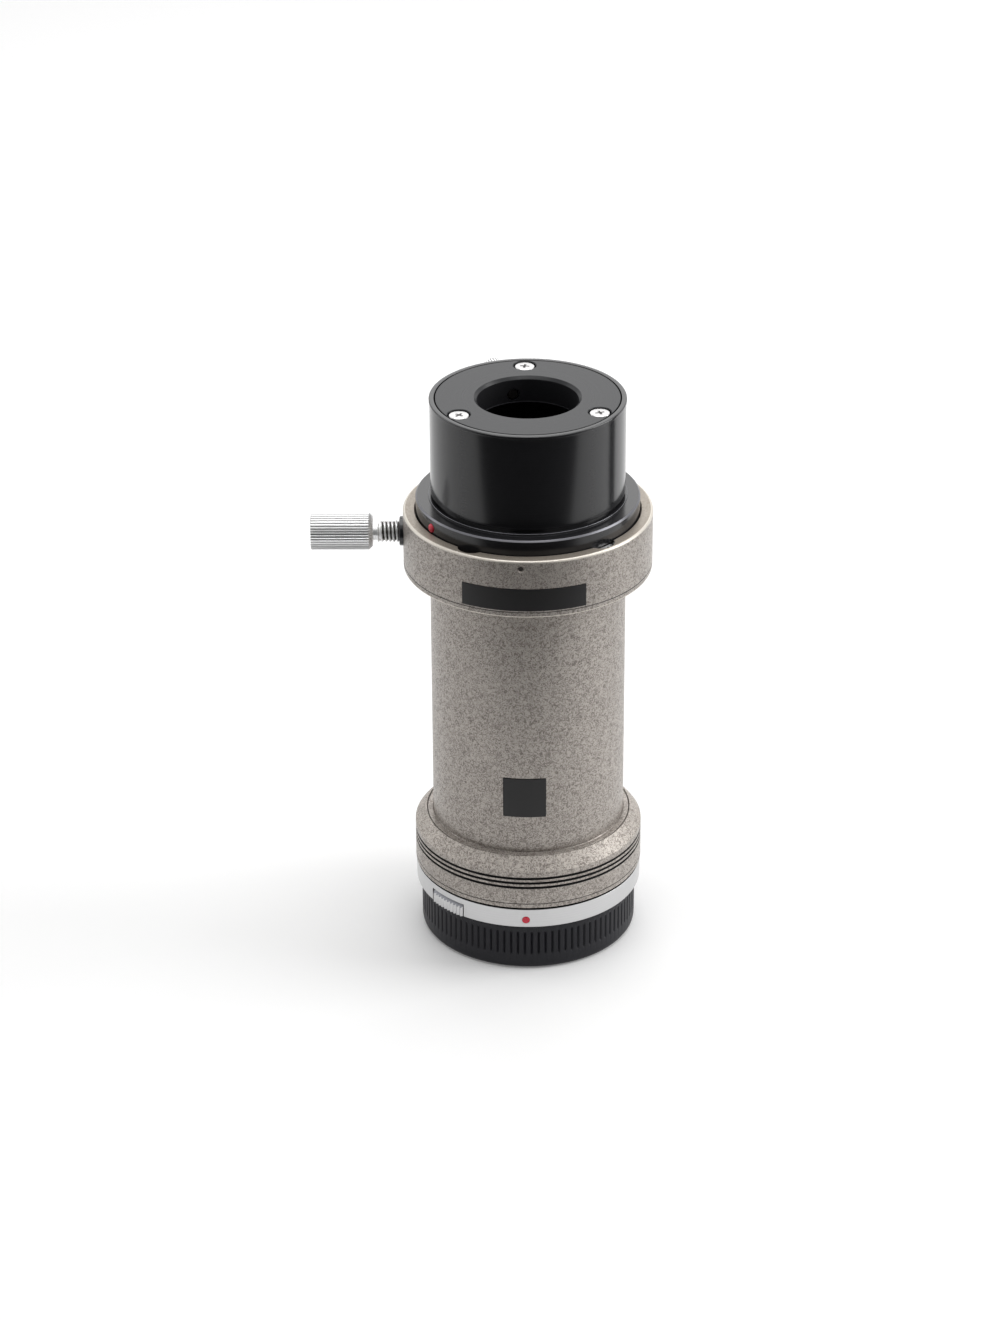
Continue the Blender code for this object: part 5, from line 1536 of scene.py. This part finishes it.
@dataclass
class Studio:
    """Pale floor, soft lamps, and black cloths that show only in what the adapter mirrors."""

    world_light: float = 0.3
    floor_glow: float = 0.12
    floor_colour: str = "#f4f4f4"
    floor_roughness: float = 0.9
    cloth_colour: str = "#070707"
    cloth_roughness: float = 1.0
    aim: Triple = (0.0, 0.0, 80.0)
    # Each panel's name, the start and the end of one edge, and where its other edge lies from that
    floor: tuple[str, Triple, Triple, Triple] = (
        "pale_floor", (-1500.0, -188.0, 0.0), (1500.0, -188.0, 0.0), (0.0, 2388.0, 0.0))
    cloths: tuple[tuple[str, Triple, Triple, Triple], ...] = (
        ("dark_floor", (-1500.0, -1600.0, -2.0), (1500.0, -1600.0, -2.0), (0.0, 1412.0, 0.0)),
        ("dark_wall", (-420.0, -1150.0, 0.0), (420.0, -1150.0, 0.0), (0.0, 0.0, 1100.0)),
        ("dark_card", (239.0, 128.0, 0.0), (260.0, 76.0, 0.0), (0.0, 0.0, 260.0)))
    # Each lamp's name, place, width and height, and how bright its face is, where 1 is white
    lamps: tuple[tuple[str, Triple, Pair, float], ...] = (
        ("top_softbox", (60.0, 180.0, 1250.0), (1000.0, 1300.0), 2.75),
        ("back_softbox", (0.0, 1500.0, 950.0), (1300.0, 800.0), 0.8),
        ("right_softbox", (1050.0, 120.0, 600.0), (700.0, 900.0), 4.3),
        ("left_softbox", (-1150.0, 450.0, 550.0), (500.0, 800.0), 1.4))

    def matt(self, name: str, colour: str, roughness: float) -> Material:
        """Make a matt material without any gloss.

        Args:
            name: Its name.
            colour: Its colour.
            roughness: Its roughness.

        Returns:
            The material.
        """
        material = bpy.data.materials.new(name)
        material.use_nodes = True
        shader = material.node_tree.nodes["Principled BSDF"]
        shader.inputs["Base Color"].default_value = linear(colour)
        shader.inputs["Roughness"].default_value = roughness
        shader.inputs["Specular IOR Level"].default_value = 0.0
        return material

    def panel(self, name: str, start: Triple, end: Triple, rise: Triple, material: Material) -> None:
        """Set up a flat panel of the studio.

        Args:
            name: Its name.
            start: Where one edge starts, in mm.
            end: Where that edge ends, in mm.
            rise: How far from that edge the other one lies, in mm.
            material: Its material. Only the floor's shows in the picture itself.
        """
        one, two, up = Vector(start) * MM, Vector(end) * MM, Vector(rise) * MM
        mesh = bpy.data.meshes.new(name)
        mesh.from_pydata([one, two, two + up, one + up], [], [(0, 1, 2, 3)])
        mesh.materials.append(material)
        panel = placed(name, mesh, Matrix())
        panel.visible_camera = name == self.floor[0]

    def seen_or_mirrored(self, tree: NodeTree) -> NodeSocket:
        """Tell camera, glossy and transmission rays from the rest.

        Args:
            tree: The node tree.

        Returns:
            A socket that is 1 for those rays.
        """
        ray = add_node(tree, "ShaderNodeLightPath")
        mirrored = add_node(tree, "ShaderNodeMath", {"operation": "MAXIMUM"},
                            {0: ray.outputs["Is Camera Ray"], 1: ray.outputs["Is Glossy Ray"]})
        either = add_node(tree, "ShaderNodeMath", {"operation": "MAXIMUM"},
                          {0: mirrored.outputs[0], 1: ray.outputs["Is Transmission Ray"]})
        return either.outputs[0]

    def build_world(self) -> None:
        """Make a soft world that is white where it is seen or mirrored."""
        world = bpy.data.worlds.new("studio_air")
        bpy.context.scene.world = world
        world.use_nodes = True
        tree = world.node_tree
        strength = add_node(tree, "ShaderNodeMapRange", {"To Min": self.world_light, "To Max": 1.0},
                            {"Value": self.seen_or_mirrored(tree)})
        background = tree.nodes["Background"]
        background.inputs["Color"].default_value = (1.0, 1.0, 1.0, 1.0)
        tree.links.new(strength.outputs[0], background.inputs["Strength"])

    def build_panels(self) -> None:
        """Lay the pale floor, which keeps the shadow, and set up the black cloths."""
        pale = self.matt("matt_white_board", self.floor_colour, self.floor_roughness)
        tree = pale.node_tree
        shader = tree.nodes["Principled BSDF"]
        glow = add_node(tree, "ShaderNodeMath", {"operation": "MULTIPLY", 1: self.floor_glow},
                        {0: self.seen_or_mirrored(tree)})
        shader.inputs["Emission Color"].default_value = (1.0, 1.0, 1.0, 1.0)
        tree.links.new(glow.outputs[0], shader.inputs["Emission Strength"])
        self.panel(*self.floor, pale)
        black = self.matt("black_cloth", self.cloth_colour, self.cloth_roughness)
        for cloth in self.cloths:
            self.panel(*cloth, black)

    def lamp(self, name: str, place: Triple, size: Pair, radiance: float) -> None:
        """Hang a soft lamp that faces the adapter.

        Args:
            name: Its name.
            place: Its middle, in mm.
            size: Its width and height, in mm.
            radiance: How bright its face is, where 1 is white.
        """
        data = bpy.data.lights.new(name, "AREA")
        data.shape = "RECTANGLE"
        data.size, data.size_y = size[0] * MM, size[1] * MM
        data.energy = radiance * math.pi * data.size * data.size_y
        turn = (Vector(self.aim) - Vector(place)).to_track_quat("-Z", "Y").to_matrix().to_4x4()
        placed(name, data, Matrix.Translation(Vector(place) * MM) @ turn)

    def build(self) -> None:
        """Build the whole studio."""
        self.build_world()
        self.build_panels()
        for lamp in self.lamps:
            self.lamp(*lamp)


@dataclass
class PhotoCamera:
    """The camera, at the photograph's place and angle."""

    focal_length: float = 100.33
    sensor: float = 36.0
    nearest: float = 0.01
    place: Triple = (0.0, -851.6, 520.5)
    pan: float = 0.0086
    pitch: float = 0.4801
    roll: float = -0.0050

    def build(self) -> None:
        """Set up the camera, and look through it."""
        data = bpy.data.cameras.new("photo_camera")
        data.lens = self.focal_length
        data.sensor_width = self.sensor
        data.clip_start = self.nearest
        place = Matrix.Translation(Vector(self.place) * MM)
        for angle, axis in ((self.pan, "Z"), (math.pi / 2 - self.pitch, "X"), (self.roll, "Z")):
            place = place @ Matrix.Rotation(angle, 4, axis)
        bpy.context.scene.camera = placed("photo_camera", data, place)


def main() -> None:
    """Build the adapter from the cap upwards, then the studio and the camera."""
    logging.basicConfig(level=logging.INFO, format="%(name)s: %(message)s")
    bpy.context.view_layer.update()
    PhotoCamera().build()
    for assembly in (RearCap(), CameraMount(), PaintedBase(), MainTube(), ClampCollar(), THUMB_SCREW,
                     MicroscopeMount(), LOCK_SCREW, Studio()):
        assembly.build()
        LOG.info("built %s", type(assembly).__name__)
    bpy.context.scene.view_settings.view_transform = "Standard"
    bpy.context.view_layer.update()


if __name__ == "__main__":
    main()
